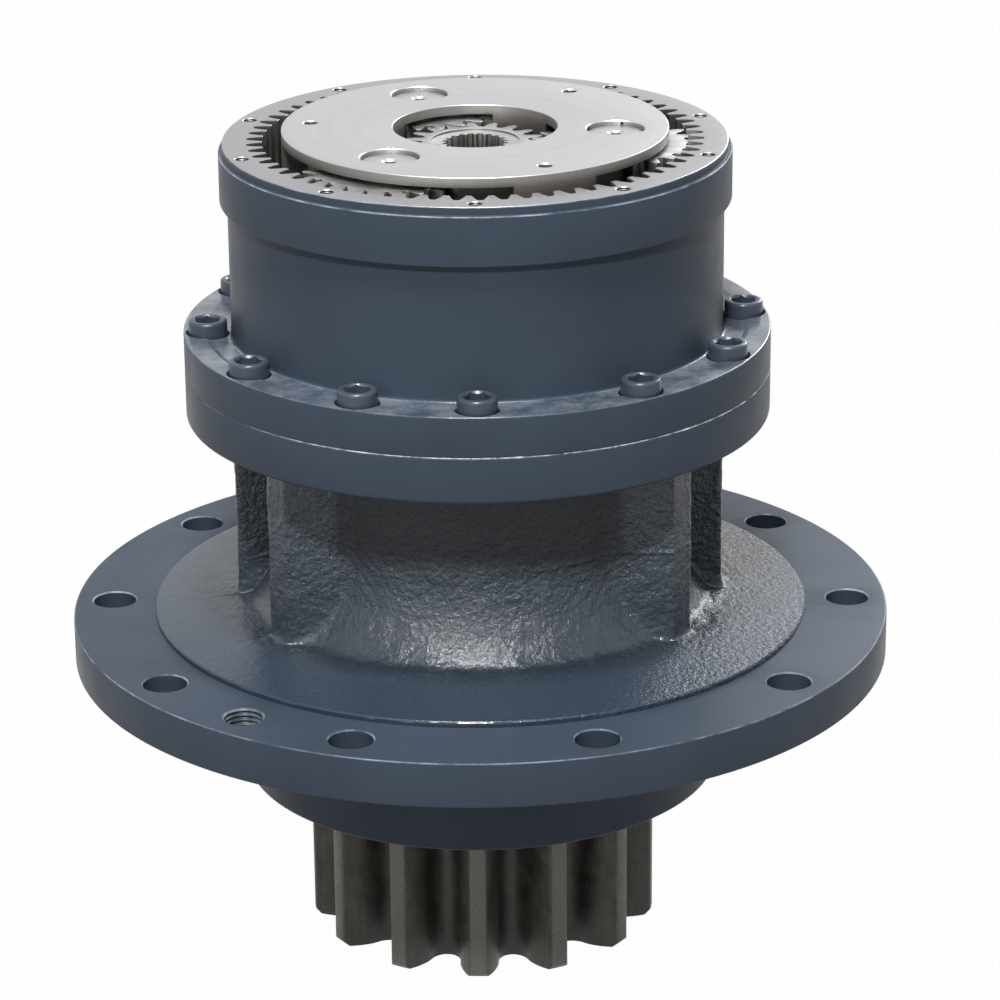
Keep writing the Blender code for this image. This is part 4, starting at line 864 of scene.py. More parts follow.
# %% Find the neck's plan
BODY_RADIUS = 102.0 * MM
RIB_RADIUS = 124.9 * MM
RIB_WIDTH = 18.0 * MM
RIB_PITCH = math.radians(36.0)
RIB_CENTRES = (math.radians(180.0), 0.0)
RIB_FLARE = math.radians(30.0)
PANEL_TURN = math.radians(146.0)
RIB_CORNER = 3.0 * MM
RIB_FILLET = 3.5 * MM
FLANK_SETBACK = 0.8 * MM
FLANK_BLEND = 1.0 * MM
RAYS = 7200
NECK_COLUMNS = 640
HALVINGS = 30


def soft_max(a, b, size):
    """The larger of two values, blended over a width."""
    mixed = np.clip(0.5 + 0.5 * (a - b) / size, 0.0, 1.0)
    return b + (a - b) * mixed + size * mixed * (1.0 - mixed)


def rib_field(x, y, angle, flare):
    """Distance outside one rib, which may have a flat panel on the side of its flare."""
    along = x * math.cos(angle) + y * math.sin(angle)
    aside = y * math.cos(angle) - x * math.sin(angle)
    if flare < 0.0:
        aside = -aside
    half = RIB_WIDTH / 2.0
    box = np.maximum(soft_max(along - RIB_RADIUS, np.abs(aside) - half, RIB_CORNER), -along)
    if flare == 0.0:
        return box
    turn = abs(flare)
    edge = Vector((RIB_RADIUS - FLANK_SETBACK, half))
    run = Vector((math.cos(PANEL_TURN), math.sin(PANEL_TURN)))
    wedge = (along - edge.x) * run.y - (aside - edge.y) * run.x
    wedge = np.maximum(wedge, aside * math.cos(turn) - along * math.sin(turn))
    wedge = np.maximum(wedge, np.maximum(-aside, along - RIB_RADIUS))
    return -soft_max(-box, -wedge, FLANK_BLEND)


def neck_field(x, y):
    """Distance outside the neck's plan."""
    field = np.hypot(x, y) - BODY_RADIUS
    for centre in RIB_CENTRES:
        for place in (-1, 0, 1):
            rib = rib_field(x, y, centre + place * RIB_PITCH, place * RIB_FLARE)
            field = -soft_max(-field, -rib, RIB_FILLET)
    return field


def neck_plan():
    """Angle and radius of points spread evenly along the neck's edge."""
    angles = np.linspace(0.0, TURN, RAYS, endpoint=False)
    low = np.full(RAYS, 0.9 * BODY_RADIUS)
    high = np.full(RAYS, 1.1 * RIB_RADIUS)
    for _ in range(HALVINGS):
        middle = (low + high) / 2.0
        outside = neck_field(middle * np.cos(angles), middle * np.sin(angles)) > 0.0
        high = np.where(outside, middle, high)
        low = np.where(outside, low, middle)
    angles = np.append(angles, TURN)
    radii = np.append(high, high[0])
    steps = np.hypot(np.diff(radii), radii[1:] * np.diff(angles))
    run = np.concatenate(([0.0], np.cumsum(steps)))
    even = np.linspace(0.0, run[-1], NECK_COLUMNS, endpoint=False)
    return np.interp(even, run, angles), np.interp(even, run, radii)


NECK_ANGLES, NECK_RADII = neck_plan()
print("neck plan: %.1f to %.1f mm" % (NECK_RADII.min() / MM, NECK_RADII.max() / MM))

# %% Build the neck's surface
SKIRT_INNER = 118.5 * MM
SKIRT_RISE = 5.6 * MM
FOOT_TOP = FLANGE_TOP + 50.0 * MM
UNDER_FILLET = 6.0 * MM
ROW_PITCH = 1.05 * MM
BLEND_POWER = 5.0
EASE_PASSES = 6
EASED_RADIUS = STEP_RADIUS - 4.0 * MM
SKIRT_TOP = STEP_TOP + SKIRT_RISE


def side_profile():
    """Radius and height of the neck between its ribs, from the skirt's edge upwards."""
    points = rounded([
        (STEP_RADIUS, FLANGE_TOP - 2.0 * MM, 0.0), (STEP_RADIUS, STEP_TOP, 1.0 * MM),
        (SKIRT_INNER, SKIRT_TOP, 0.0),
    ], 6)
    run, rise = SKIRT_INNER - BODY_RADIUS, FOOT_TOP - SKIRT_TOP
    bend = (run * run + rise * rise) / (2.0 * run)
    for turn in np.linspace(math.asin(rise / bend), 0.0, 24)[1:]:
        radius = BODY_RADIUS + bend * (1.0 - math.cos(turn))
        points.append((radius, FOOT_TOP - bend * math.sin(turn)))
    for turn in np.linspace(0.0, math.pi / 2.0, 8):
        radius = BODY_RADIUS + UNDER_FILLET * (1.0 - math.cos(turn))
        points.append((radius, JOINT_BOTTOM - UNDER_FILLET + UNDER_FILLET * math.sin(turn)))
    points.append((BODY_RADIUS + UNDER_FILLET, JOINT_BOTTOM + 1.0 * MM))
    return np.array(points)


def evenly(points, pitch):
    """Points at an even pitch along a line, which keeps its corners nearly in place."""
    run = np.concatenate(([0.0], np.cumsum(np.hypot(*np.diff(points, axis=0).T))))
    even = np.linspace(0.0, run[-1], int(run[-1] / pitch))
    return np.stack([np.interp(even, run, column) for column in points.T], axis=1)


def eased(rows):
    """The same rows with the corner between barrel and skirt rounded off."""
    inside = rows[1:-1, 0] < EASED_RADIUS
    for _ in range(EASE_PASSES):
        middle = (rows[:-2] + 2.0 * rows[1:-1] + rows[2:]) / 4.0
        rows[1:-1][inside] = middle[inside]
    return rows


def build_neck():
    """A closed skin: the outer rows, and two rows inside that shut it."""
    rows = eased(evenly(side_profile(), ROW_PITCH))
    rib_rise = np.maximum(NECK_RADII - BODY_RADIUS, 0.0)
    shape = bmesh.new()
    grid = []
    for radius, height in rows:
        rise = max(radius - BODY_RADIUS, 0.0)
        radii = BODY_RADIUS + (rib_rise ** BLEND_POWER + rise ** BLEND_POWER) ** (1.0 / BLEND_POWER)
        grid.append((radii, height))
    grid.append((np.full(NECK_COLUMNS, CORE_RADIUS), rows[-1][1]))
    grid.append((np.full(NECK_COLUMNS, CORE_RADIUS), rows[0][1]))
    cosines, sines = np.cos(NECK_ANGLES), np.sin(NECK_ANGLES)
    rings = []
    for radii, height in grid:
        spots = zip(radii * cosines, radii * sines)
        rings.append([shape.verts.new((x, y, height)) for x, y in spots])
    for lower, upper in zip(rings, rings[1:] + rings[:1]):
        for a in range(NECK_COLUMNS):
            b = (a + 1) % NECK_COLUMNS
            shape.faces.new((lower[a], lower[b], upper[b], upper[a]))
    return make_object("cast_neck", shape)


# %% [markdown]
# ## Sand texture
# The grain of the sand is partly real relief, so that it also shows on the outline and in
# the mesh. Each point moves along its normal by a few octaves of noise, most on the
# barrel and little on the skirt. A thin ridge on the right-hand flank is the line where the
# two halves of the mould met.

# %% Roughen the neck
GRAIN_STEPS = ((0.0030, 0.34 * MM), (0.010, 0.42 * MM), (0.036, 0.50 * MM))
PARTING_HEIGHT = 229.0 * MM
PARTING_RISE = 0.035
PARTING_CENTRE = math.radians(-52.0)
PARTING_SPREAD = math.radians(26.0)
PARTING_WIDTH = 0.7 * MM
PARTING_RIDGE = 0.60 * MM
GRAIN_SINK = 0.25 * MM
SKIRT_START = RIB_RADIUS + MM
FADE_START = 0.127
FADE_WIDTH = 0.008
FADE_SHARE = 0.85


def roughen(piece):
    """Move the neck's points along their normals, in and out."""
    mesh = piece.data
    spots = [vertex.co.copy() for vertex in mesh.vertices]
    normals = [vertex.normal.copy() for vertex in mesh.vertices]
    for k, (spot, normal) in enumerate(zip(spots, normals)):
        radius = math.hypot(spot.x, spot.y)
        if radius < CORE_RADIUS + MM or spot.z < STEP_TOP - MM or spot.z > JOINT_BOTTOM - MM:
            continue
        share = 1.0 - FADE_SHARE * min(max((radius - FADE_START) / FADE_WIDTH, 0.0), 1.0)
        shift = sum(size * noise.noise(spot / pitch) for pitch, size in GRAIN_STEPS)
        angle = math.atan2(spot.y, spot.x) - PARTING_CENTRE
        fade = max(0.0, 1.0 - (angle / PARTING_SPREAD) ** 4)
        away = (spot.z - PARTING_HEIGHT - PARTING_RISE * angle * radius) / PARTING_WIDTH
        ridge = PARTING_RIDGE * fade * math.exp(-away * away)
        spots[k] = spot + normal * (shift * share + ridge - GRAIN_SINK * share)
    mesh.vertices.foreach_set("co", np.array(spots).ravel())
    mesh.update()


neck = build_neck()
roughen(neck)
dress(neck, "housing", "slate_paint", ["lower_housing"], CAST, SKIRT)
give(neck, 1, lambda face: face.center.z < SKIRT_TOP and face.center.xy.length > SKIRT_START)

# %% [markdown]
# ## Sealant
# The joint is sealed with a bead of compound. Some of it was squeezed out all round, and where
# it was rubbed it shines nearly white along the seam. A thin ring whose thickness wanders does
# this.

# %% Make the sealant bead
BEAD_RADIUS = 0.45 * MM
BEAD_STEPS = 720
BEAD_SIDES = 8


def build_bead():
    """A thin uneven ring at the parting line of the two flanges."""
    shape = bmesh.new()
    rings = []
    for step in range(BEAD_STEPS):
        angle = TURN * step / BEAD_STEPS
        spot = Vector((math.cos(angle), math.sin(angle), 0.0))
        swell = 1.0 + 0.9 * noise.noise(spot * 22.0) + 0.6 * noise.noise(spot * 90.0)
        size = BEAD_RADIUS * max(0.35, swell)
        ring = []
        for side in range(BEAD_SIDES):
            turn = TURN * side / BEAD_SIDES
            radius = JOINT_RADIUS - BEAD_RADIUS + size * math.cos(turn)
            height = JOINT_FACE + SEAM + size * math.sin(turn)
            ring.append(shape.verts.new((radius * spot.x, radius * spot.y, height)))
        rings.append(ring)
    skin(shape, rings)
    return make_object("joint_sealant", shape)


bead = build_bead()
dress(bead, "housing", "slate_paint", [], SEALANT)

# %% [markdown]
# ## Gear teeth
# A gear tooth's flank is an involute, the curve that the end of a taut string draws as it
# unwinds from a circle. It keeps two gears in even contact. One tooth is drawn from the middle
# of one gap to the middle of the next, with a rounded root. Geometry Nodes copies it round the
# axis, welds the ends, fills the outline and pulls it up into a solid.
#
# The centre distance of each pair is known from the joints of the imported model, and it fixes
# how far the teeth are shifted outwards from their standard place.

# %% Work out the teeth
PRESSURE_ANGLE = math.radians(20.0)
MODULE = 3.5 * MM
RING_TEETH = 63
SUN_TEETH = 18
PLANET_TEETH = 22
PLANET_SHIFT = 0.22
RING_GAP_ANGLE = math.radians(2.5)
RING_TIP = 106.0 * MM
RING_ROOT = 113.6 * MM
TOOTH_GAP = 0.27 * MM

joint_places = {j["child"]: Vector(j["pos_m"]) for j in frame["joints"]}
first_planet = joint_places["first_planet_a"]
PLANET_CENTRE = math.hypot(first_planet.x, first_planet.y)
PLANET_PHASE = math.atan2(first_planet.y, first_planet.x)


def involute(angle):
    """The involute function of a pressure angle."""
    return math.tan(angle) - angle


def shift_sum(teeth, centre):
    """Shift that a pair needs in all, by its tooth sum or difference."""
    angle = math.acos(MODULE * teeth / 2.0 / centre * math.cos(PRESSURE_ANGLE))
    return (involute(angle) - involute(PRESSURE_ANGLE)) * teeth / (2.0 * math.tan(PRESSURE_ANGLE))


def gear_radii(teeth, shift):
    """Root and tip radius of an outside gear of the first stage."""
    middle = teeth / 2.0
    return MODULE * (middle - 1.25 + shift), MODULE * (middle + 1.0 + shift)


def half_tooth(teeth, module, shift, radius):
    """Half the angle that a tooth takes up at a radius."""
    base = module * teeth / 2.0 * math.cos(PRESSURE_ANGLE)
    middle = math.pi / (2 * teeth) + 2.0 * shift * math.tan(PRESSURE_ANGLE) / teeth
    here = math.acos(min(1.0, base / max(radius, base)))
    return middle + involute(PRESSURE_ANGLE) - involute(here)


def tooth_line(teeth, module, shift, root, tip, thin):
    """Points of one tooth about +X, from gap middle to gap middle."""
    base = module * teeth / 2.0 * math.cos(PRESSURE_ANGLE)
    form = max(base, root + 0.3 * module)
    ease = thin / (module * teeth / 2.0)
    radii = np.linspace(form, tip, 7)
    flank = [(radius, half_tooth(teeth, module, shift, radius) - ease) for radius in radii]
    foot = flank[0][1]
    side = []
    for turn in np.linspace(math.pi / 2.0, 0.0, 6)[:-1]:
        radius = root + (form - root) * (1.0 - math.sin(turn))
        side.append((radius, foot + (math.pi / teeth - foot) * (1.0 - math.cos(turn))))
    side += flank
    points = [(r, -a) for r, a in side] + [(r, a) for r, a in reversed(side)]
    return [(r * math.cos(a), r * math.sin(a)) for r, a in points]


def line_object(name, points):
    """A row of edges, to be copied by the gear tree."""
    mesh = bpy.data.meshes.new(name)
    edges = [(k, k + 1) for k in range(len(points) - 1)]
    mesh.from_pydata([(x, y, 0.0) for x, y in points], edges, [])
    return new_object(name, mesh)


RING_SHIFT = PLANET_SHIFT + shift_sum(RING_TEETH - PLANET_TEETH, PLANET_CENTRE)
SUN_SHIFT = shift_sum(SUN_TEETH + PLANET_TEETH, PLANET_CENTRE) - PLANET_SHIFT
print("shifts: ring %.3f, sun %.3f" % (RING_SHIFT, SUN_SHIFT))


# %% Build the gear tree
LINE_WELD = 0.00001


def gear_tree():
    """A toothed solid from one tooth's line, with a toothed or round bore from another."""
    sockets = {
        "Tooth": "Object", "Teeth": "Int", "Phase": "Float", "Bore": "Object", "Bore teeth": "Int",
        "Bottom": "Float", "Height": "Float", "Material": "Material",
    }
    tree, net, given = tree_with("gear_from_one_tooth", sockets)

    def loop(item, count, phase):
        points = net.add("GeometryNodePoints", {"Count": count})
        real = copied(net, item, points, turned_by(net, count, phase))
        inputs = {"Geometry": real, "Distance": LINE_WELD}
        welded = net.add("GeometryNodeMergeByDistance", inputs)
        return net.add("GeometryNodeMeshToCurve", {"Mesh": welded})

    def joined(first, second):
        join = tree.nodes.new("GeometryNodeJoinGeometry")
        tree.links.new(first, join.inputs[0])
        tree.links.new(second, join.inputs[0])
        return join.outputs[0]

    teeth = loop(given["Tooth"], given["Teeth"], given["Phase"])
    lines = joined(teeth, loop(given["Bore"], given["Bore teeth"], 0.0))
    face = net.add("GeometryNodeFillCurve", {"Curve": lines})
    lift = net.add("ShaderNodeCombineXYZ", {"Z": given["Bottom"]})
    face = net.add("GeometryNodeTransform", {"Geometry": face, "Translation": lift})
    rise = net.add("ShaderNodeCombineXYZ", {"Z": given["Height"]})
    inputs = {"Mesh": face, "Offset": rise, "Individual": False}
    walls = net.add("GeometryNodeExtrudeMesh", inputs, output="Mesh")
    whole = joined(walls, net.add("GeometryNodeFlipFaces", {"Mesh": face}))
    inputs = {"Geometry": whole, "Distance": SOLID_WELD}
    hand_out(net, net.add("GeometryNodeMergeByDistance", inputs), given["Material"])
    return tree


GEAR_TREE = gear_tree()


def gear(name, tooth, teeth, phase, bottom, top, bore=(), bore_teeth=0, material=None):
    """A gear solid about the main axis, from one tooth's line and from one part of its bore."""
    made = grown(name, bpy.data.meshes.new(name), GEAR_TREE, {
        "Tooth": line_object("tooth_line", tooth), "Teeth": teeth, "Phase": phase,
        "Bore": line_object("bore_line", bore), "Bore teeth": bore_teeth,
        "Bottom": bottom, "Height": top - bottom, "Material": material,
    })
    shape = bmesh.new()
    shape.from_mesh(made.data)
    bmesh.ops.recalc_face_normals(shape, faces=shape.faces)
    shape.to_mesh(made.data)
    shape.free()
    return made


def arc_line(radius, parts):
    """One part of a round bore."""
    angles = np.linspace(-math.pi / parts, math.pi / parts, 3)
    return [(radius * math.cos(a), radius * math.sin(a)) for a in angles]


# %% [markdown]
# ## The ring gear
# This one forging is a flange below, a cylinder in the middle and a register on top that
# centres the motor. Its inside carries the teeth of both stages. Outside it is painted, while
# the register, its top face and the teeth stay bare. The teeth are broached: the tool that
# cuts the gaps has the shape of an outside gear.

# %% Make the ring gear
CYLINDER = 124.2 * MM
BAND_BOTTOM = 392.7 * MM
FLANGE_INSET = 1.0 * MM
BOLT_CIRCLE = 136.0 * MM
TEETH_BOTTOM = 316.0 * MM
COVER_CIRCLE = 119.8 * MM
COVER_PHASE = math.radians(-90.2)
COVER_HOLES = 10
TAP_RADIUS = 3.35 * MM
TAP_DEPTH = 14.0 * MM
TAP_PITCH = 1.25 * MM
PILOT_RADIUS = 122.0 * MM
LOWER_BORE = 114.5 * MM
RING_SEAT = JOINT_FACE + 0.3 * MM
BROACH_START = RING_TIP - 3.5 * MM
EDGE_EASE = 0.3 * MM
EDGE_DEPTH = 0.35 * MM
HEAD_HEIGHT = 14.0 * MM
HEAD_SEAT = BOLT_TOP - HEAD_HEIGHT

ring = swept("ring_gear_body", rounded([
    (REGISTER, RING_TOP, 0.7 * MM),
    (REGISTER, BAND_TOP, 0.3 * MM),
    (BAND, BAND_TOP, 0.9 * MM),
    (BAND, BAND_BOTTOM, 0.7 * MM),
    (CYLINDER, BAND_BOTTOM - 0.5 * MM, 0.4 * MM),
    (CYLINDER, JOINT_TOP - FLANGE_INSET, 1.8 * MM),
    (BOLT_CIRCLE - 1.2 * MM, JOINT_TOP - FLANGE_INSET, 0.8 * MM),
    (BOLT_CIRCLE + 1.4 * MM, JOINT_TOP, 0.6 * MM),
    (JOINT_RADIUS, JOINT_TOP, 0.9 * MM),
    (JOINT_RADIUS, RING_SEAT, 0.8 * MM),
    (PILOT_RADIUS, RING_SEAT, 0.0),
    (PILOT_RADIUS, PILOT_BOTTOM, 0.8 * MM),
    (LOWER_BORE, PILOT_BOTTOM, 0.8 * MM),
    (LOWER_BORE, TEETH_BOTTOM, 0.0),
    (RING_TIP, TEETH_BOTTOM, 0.6 * MM),
    (RING_TIP, RING_TOP, 0.4 * MM),
]), 252)
for name, ease, low in (
    ("broach", 0.0, TEETH_BOTTOM - PAST),
    ("edge_broach", EDGE_EASE, RING_TOP - EDGE_DEPTH),
):
    gap_line = tooth_line(
        RING_TEETH, MODULE, RING_SHIFT, BROACH_START, RING_ROOT + ease, -TOOTH_GAP / 2.0 - ease
    )
    combined(ring, gear(name, gap_line, RING_TEETH, RING_GAP_ANGLE, low, RING_TOP + PAST))
tapped = tap("cover_tap", TAP_RADIUS, RING_TOP - TAP_DEPTH, RING_TOP, TAP_PITCH, 20)
combined(ring, on_circle("cover_taps", tapped, COVER_HOLES, COVER_CIRCLE, COVER_PHASE))
print("ring gear: %d faces" % len(ring.data.polygons))

# %% [markdown]
# ## Joint bolts
# Twelve socket-head screws hold the ring gear to the housing. Their heads stand in counterbores
# that are slightly wider, so a dark crescent shows beside each head. The screws were painted
# together with the flange. Each one is turned from the same outline, and its socket is a
# six-sided hole with a cone at its mouth. One of the twelve stands off the even spacing, so
# that the ring gear fits in one position only. The second tree therefore takes its places
# from a mesh of points instead of a circle.


# %% Build the second copying tree
def point_tree():
    """Copies of an item on the points of the mesh, all turned to face outwards."""
    tree, net, given = tree_with("copies_on_points", {"Item": "Object", "Material": "Material"})
    parts = tree.nodes.new("ShaderNodeSeparateXYZ")
    tree.links.new(net.add("GeometryNodeInputPosition"), parts.inputs[0])
    angle = net.maths("ARCTAN2", parts.outputs["Y"], parts.outputs["X"])
    hand_out(net, copied(net, given["Item"], given["Geometry"], angle), given["Material"])
    return tree


POINT_TREE = point_tree()


def at_bolts(name, item, material=None):
    """A mesh of an item copied to the joint bolts' places."""
    mesh = bpy.data.meshes.new(name)
    mesh.from_pydata([(x, y, 0.0) for x, y in BOLT_SPOTS], [], [])
    return grown(name, mesh, POINT_TREE, {"Item": item, "Material": material})


# %% Make the counterbores and the screws
HEX_ACROSS = 12.0 * MM
HEX_DEPTH = 7.0 * MM
SHANK_RADIUS = 7.0 * MM
SHANK_END = 290.0 * MM
COUNTERBORE = HEAD_RADIUS + 0.95 * MM


def hexagon_line(across_flats):
    """One side of a hexagon about +X."""
    corner = across_flats / math.sqrt(3.0)
    return [(corner * math.cos(a), corner * math.sin(a)) for a in (-math.pi / 6.0, math.pi / 6.0)]


counterbore = swept("counterbore", [
    (0.0, HEAD_SEAT - 0.3 * MM),
    (COUNTERBORE, HEAD_SEAT - 0.3 * MM),
    (COUNTERBORE, JOINT_TOP - 1.4 * MM),
    (COUNTERBORE + 0.5 * MM, JOINT_TOP - 0.5 * MM),
    (COUNTERBORE + 0.5 * MM, JOINT_TOP + PAST),
    (0.0, JOINT_TOP + PAST),
], 48)
combined(ring, at_bolts("counterbores", counterbore))


def build_screw():
    """One socket-head screw about the main axis."""
    screw = swept("screw", rounded([
        (0.0, BOLT_TOP, 0.0),
        (HEAD_RADIUS, BOLT_TOP, 1.7 * MM),
        (HEAD_RADIUS, HEAD_SEAT, 0.4 * MM),
        (SHANK_RADIUS, HEAD_SEAT, 0.3 * MM),
        (SHANK_RADIUS, SHANK_END, 0.8 * MM),
        (0.0, SHANK_END, 0.0),
    ]), 40)
    side = hexagon_line(HEX_ACROSS)
    combined(screw, gear("key", side, 6, 0.0, BOLT_TOP - HEX_DEPTH, BOLT_TOP + PAST))
    cone = swept("key_cone", [
        (0.0, BOLT_TOP - 1.4 * MM),
        (5.7 * MM, BOLT_TOP - 1.4 * MM),
        (7.3 * MM, BOLT_TOP + 0.1 * MM),
        (0.0, BOLT_TOP + 0.1 * MM),
    ], 40)
    return combined(screw, cone)


screws = at_bolts("joint_screws", build_screw(), SCREW_PAINT)
dress(screws, "housing", "slate_paint", BOLT_NODES, SCREW_PAINT)

# %% Finish the ring gear
INSIDE = 124.0 * MM
dress(ring, "housing", "slate_paint", ["ring_gear"], SMOOTH, RING_FACE, OILED_SHADED_FLANK, GLOSSY_TOP_WITH_SHEEN)


def among_teeth(face):
    """Whether a face lies inside the ring, at the height of its teeth."""
    return face.center.xy.length < INSIDE and face.center.z > TEETH_BOTTOM - MM


# The ring flange's top takes the glossy paint with the painted sheen.
give(ring, 3, lambda face: face.normal.z > 0.6 and face.center.z < JOINT_TOP + MM)
# Faces among the teeth take the darker flank steel, partly painted shade.
give(ring, 2, among_teeth)
give(ring, 1, lambda face: face.normal.z > 0.6 and face.center.z > RING_TOP - MM)

# %% [markdown]
# ## The first carrier
# The plate on top holds three planet pins and drives the second sun through its hub. It is
# turned from one piece of steel. Windows between its two plates leave room for the planets.
# The plate's rim is plain turned steel with a stained lower edge.

# %% Make the carrier
PLATE_BOTTOM = 422.5 * MM
CARRIER_FLOOR = 389.0 * MM
CARRIER_BOTTOM = 379.0 * MM
PLATE_HOLE = 41.0 * MM
HUB_RADIUS = 38.0 * MM
HUB_BORE = 28.3 * MM
WINDOW_GAP = 1.6 * MM
PLANET_ROOT, PLANET_TIP = gear_radii(PLANET_TEETH, PLANET_SHIFT)
PIN_RADIUS = 14.2 * MM
EYE_CIRCLE = 82.5 * MM
EYE_RADIUS = 3.6 * MM
PLANETS = 3
PILLAR_HALF_ANGLE = math.radians(13.0)
RIM_RELIEF = 9.4 * MM


def rim_cutter():
    """A tool that clears the rim beside one planet, so that only narrow pillars stay."""
    reach_angle = math.pi / PLANETS - PILLAR_HALF_ANGLE
    shape = bmesh.new()
    rings = []
    for angle in np.linspace(-reach_angle, reach_angle, 25).tolist():
        c, s = math.cos(angle), math.sin(angle)
        rings.append([
            shape.verts.new((r * c, r * s, z))
            for r in (PLATE_RADIUS - RIM_RELIEF, PLATE_RADIUS + PAST)
            for z in (CARRIER_FLOOR, PLATE_BOTTOM)
        ])
    for ring, following in zip(rings, rings[1:]):
        for a, b in ((0, 1), (1, 3), (3, 2), (2, 0)):
            shape.faces.new((ring[a], ring[b], following[b], following[a]))
    for ring in (rings[0], rings[-1]):
        shape.faces.new((ring[0], ring[1], ring[3], ring[2]))
    return make_object("rim_cutter", shape)


plate = swept("carrier_plate", rounded([
    (PLATE_RADIUS, PLATE_TOP, 0.6 * MM),
    (PLATE_RADIUS, CARRIER_BOTTOM, 0.8 * MM),
    (HUB_RADIUS, CARRIER_BOTTOM, 1.0 * MM),
    (HUB_RADIUS, HUB_BOTTOM, 1.0 * MM),
    (HUB_BORE, HUB_BOTTOM, 0.5 * MM),
    (HUB_BORE, CARRIER_FLOOR, 0.5 * MM),
    (PLATE_HOLE, CARRIER_FLOOR, 0.0),
    (PLATE_HOLE, PLATE_TOP, 0.6 * MM),
]), 224)
window = swept("window_tool", [
    (0.0, CARRIER_FLOOR),
    (PLANET_TIP + WINDOW_GAP, CARRIER_FLOOR),
    (PLANET_TIP + WINDOW_GAP, PLATE_BOTTOM),
    (0.0, PLATE_BOTTOM),
], 96)
pin_bore = drill("pin_bore", PIN_RADIUS + 0.3 * MM, CARRIER_BOTTOM, PLATE_TOP, 0.5 * MM, 64)
eye = drill("eye_drill", EYE_RADIUS, PLATE_BOTTOM - 5.0 * MM, PLATE_TOP, 0.5 * MM, 32)
for name, tool, radius, phase in (
    ("windows", window, PLANET_CENTRE, PLANET_PHASE),
    ("pin_bores", pin_bore, PLANET_CENTRE, PLANET_PHASE),
    ("eyes", eye, EYE_CIRCLE, PLANET_PHASE + math.pi / PLANETS),
    ("rim_reliefs", rim_cutter(), 0.0, PLANET_PHASE),
):
    combined(plate, on_circle(name, tool, PLANETS, radius, phase))
dress(plate, "first_carrier", "machined_steel", ["stage1_carrier"], PLATE, RIM)
give(plate, 1, upright)

# %% [markdown]
# ## Planet pins
# Each planet turns on a pin whose end lies a little below the plate. The small cone in its
# middle is the centre that held it in the lathe.

# %% Make the planet pins
pin = swept("pin", rounded([
    (0.0, PIN_TOP - 5.5 * MM, 0.0),
    (2.9 * MM, PIN_TOP - 5.0 * MM, 0.0),
    (2.9 * MM, PIN_TOP - 1.0 * MM, 0.2 * MM),
    (4.2 * MM, PIN_TOP, 0.2 * MM),
    (PIN_RADIUS, PIN_TOP, 1.0 * MM),
    (PIN_RADIUS, CARRIER_BOTTOM + 0.3 * MM, 0.8 * MM),
    (0.0, CARRIER_BOTTOM + 0.3 * MM, 0.0),
]), 64)
pins = on_circle("planet_pins", pin, PLANETS, PLANET_CENTRE, PLANET_PHASE, GEAR)
PIN_NODES = ["stage1_planet_pin_" + letter for letter in "abc"]
dress(pins, "first_carrier", "machined_steel", PIN_NODES, GEAR, RIM)
give(pins, 1, upright)

# %% [markdown]
# ## Planets and sun
# Three planets roll between the sun and the ring gear. Their teeth only fit if each gear
# stands at the right angle, which follows from its place and from the tooth counts. Each planet
# is its own piece, because each one turns on its own body.

# %% Make the planets and the sun
PLANET_BORE = 20.0 * MM
BORE_PARTS = 24
EDGE_BREAK = 0.35 * MM

planet_line = tooth_line(
    PLANET_TEETH, MODULE, PLANET_SHIFT, PLANET_ROOT, PLANET_TIP, TOOTH_GAP / 2.0
)
for letter in "abc":
    node = "stage1_planet_" + letter
    place = joint_places["first_planet_" + letter]
    low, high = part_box(node)
    bearing = math.atan2(place.y, place.x)
    phase = bearing + (RING_GAP_ANGLE - bearing) * RING_TEETH / PLANET_TEETH
    planet = gear(
        "planet_" + letter, planet_line, PLANET_TEETH, phase, low[2], high[2],
        arc_line(PLANET_BORE, BORE_PARTS), BORE_PARTS, GEAR,
    )
    bevelled(planet, EDGE_BREAK)
    planet.data.transform(Matrix.Translation((place.x, place.y, 0.0)))
    dress(planet, "first_planet_" + letter, "machined_steel", [node], GEAR, OILED_SHADED_FLANK)
    give(planet, 1, upright)

SUN_ROOT, SUN_TIP = gear_radii(SUN_TEETH, SUN_SHIFT)
SPLINE_TEETH = 20
SPLINE_TIP = 14.6 * MM
SPLINE_ROOT = 16.4 * MM
SUN_HUB = 22.0 * MM
HUB_SINK = 0.8 * MM


def spline_line():
    """One tooth of the splined socket, which points inwards."""
    pitch = TURN / SPLINE_TEETH
    shoulder = SPLINE_ROOT - 0.4 * MM
    half = [(SPLINE_TIP, 0.14), (shoulder, 0.27), (SPLINE_ROOT, 0.34), (SPLINE_ROOT, 0.5)]
    spots = [(r, -share) for r, share in half[::-1]] + half
    return [(r * math.cos(share * pitch), r * math.sin(share * pitch)) for r, share in spots]


turns = math.pi * (PLANET_TEETH + 1) - RING_GAP_ANGLE * RING_TEETH
sun_phase = (turns + PLANET_PHASE * (RING_TEETH + SUN_TEETH)) / SUN_TEETH
sun_line = tooth_line(SUN_TEETH, MODULE, SUN_SHIFT, SUN_ROOT, SUN_TIP, TOOTH_GAP / 2.0)
sun = gear(
    "sun_gear", sun_line, SUN_TEETH, sun_phase, SUN_BOTTOM, SUN_TOP,
    spline_line(), SPLINE_TEETH, GEAR,
)
hub = swept("hub_tool", [
    (0.0, SUN_TOP - HUB_SINK),
    (SUN_HUB, SUN_TOP - HUB_SINK),
    (SUN_HUB + 0.3 * MM, SUN_TOP + PAST),
    (0.0, SUN_TOP + PAST),
], 96)
bevelled(combined(sun, hub), EDGE_BREAK)
dress(sun, "input_sun", "machined_steel", ["stage1_sun"], GEAR, OILED_SHADED_FLANK)
give(sun, 1, upright)

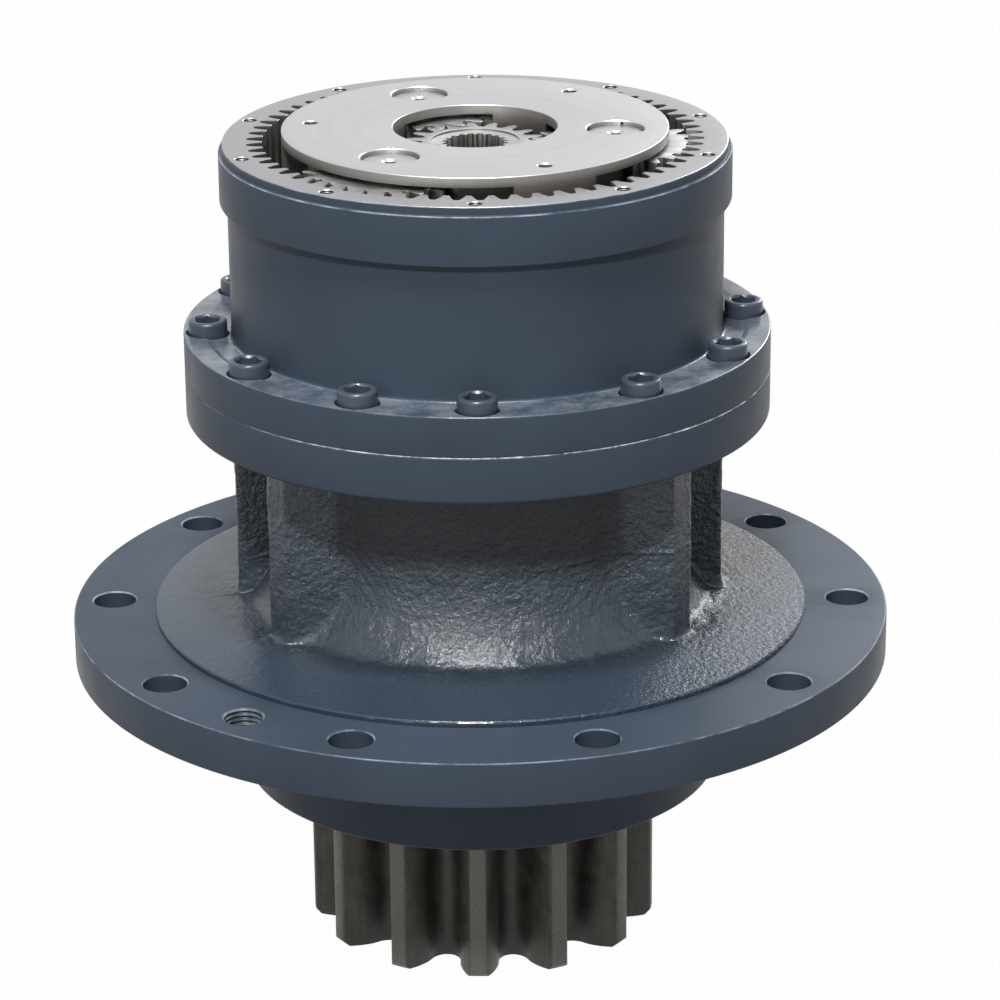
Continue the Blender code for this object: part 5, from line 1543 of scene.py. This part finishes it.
# %% [markdown]
# ## The pinion
# Thirteen heavy teeth, each chamfered at its lower end so that it slips into the slewing ring.
# A turned ring with a cone inside cuts the chamfers. The shaft above it is one piece with it on
# the real part, and here a second mesh on the same body.

# %% Make the pinion and the shaft
PINION_ROOT = 64.8 * MM
PINION_TOP = 82.0 * MM
PINION_PHASE = math.radians(268.0)
TEETH_END = PINION_END + 0.2 * MM
SPLINE_SHAFT = 42.0 * MM
UPPER_JOURNAL = 52.5 * MM
LOWER_JOURNAL = 57.5 * MM
JOURNAL_STEP = 236.0 * MM
JOURNAL_TOP = 278.0 * MM
SPLINE_FOOT = 280.0 * MM
SEAL_JOURNAL = 62.5 * MM
LATHE_CENTRE = 20.0 * MM
LATHE_CENTRE_DEPTH = 4.0 * MM

pinion_line = tooth_line(PINION_TEETH, PINION_MODULE, 0.0, PINION_ROOT, PINION_TIP, 0.0)
pinion = gear(
    "pinion_teeth", pinion_line, PINION_TEETH, PINION_PHASE, TEETH_END, PINION_TOP, material=DARK
)
bevelled(pinion, 0.8 * MM)
cone = swept("chamfer_cone", [
    (PINION_TIP - 3.2 * MM, PINION_END - PAST),
    (PINION_TIP - 3.2 * MM, TEETH_END),
    (PINION_TIP - 0.4 * MM, PINION_END + 2.9 * MM),
    (PINION_TIP + 5.0 * MM, PINION_END + 7.9 * MM),
    (PINION_TIP + 5.0 * MM, PINION_END - PAST),
], 128)
combined(pinion, cone)
dress(pinion, "output", "pinion_steel", ["output_shaft"], DARK)

shaft = swept("shaft_core", rounded([
    (0.0, SHAFT_TOP, 0.0),
    (SPLINE_SHAFT, SHAFT_TOP, 1.0 * MM),
    (SPLINE_SHAFT, SPLINE_FOOT, 0.0),
    (UPPER_JOURNAL, JOURNAL_TOP, 0.5 * MM),
    (UPPER_JOURNAL, JOURNAL_STEP, 0.0),
    (LOWER_JOURNAL, JOURNAL_STEP, 0.8 * MM),
    (LOWER_JOURNAL, BEARING_FLOOR, 0.0),
    (SEAL_JOURNAL, BEARING_FLOOR, 0.8 * MM),
    (SEAL_JOURNAL, PINION_END + 1.5 * MM, 0.0),
    (SEAL_JOURNAL - 1.5 * MM, PINION_END, 0.5 * MM),
    (LATHE_CENTRE, PINION_END, 0.5 * MM),
    (LATHE_CENTRE - LATHE_CENTRE_DEPTH, PINION_END + LATHE_CENTRE_DEPTH, 0.0),
    (0.0, PINION_END + LATHE_CENTRE_DEPTH, 0.0),
]), 128)
dress(shaft, "output", "pinion_steel", ["output_shaft"], DARK)
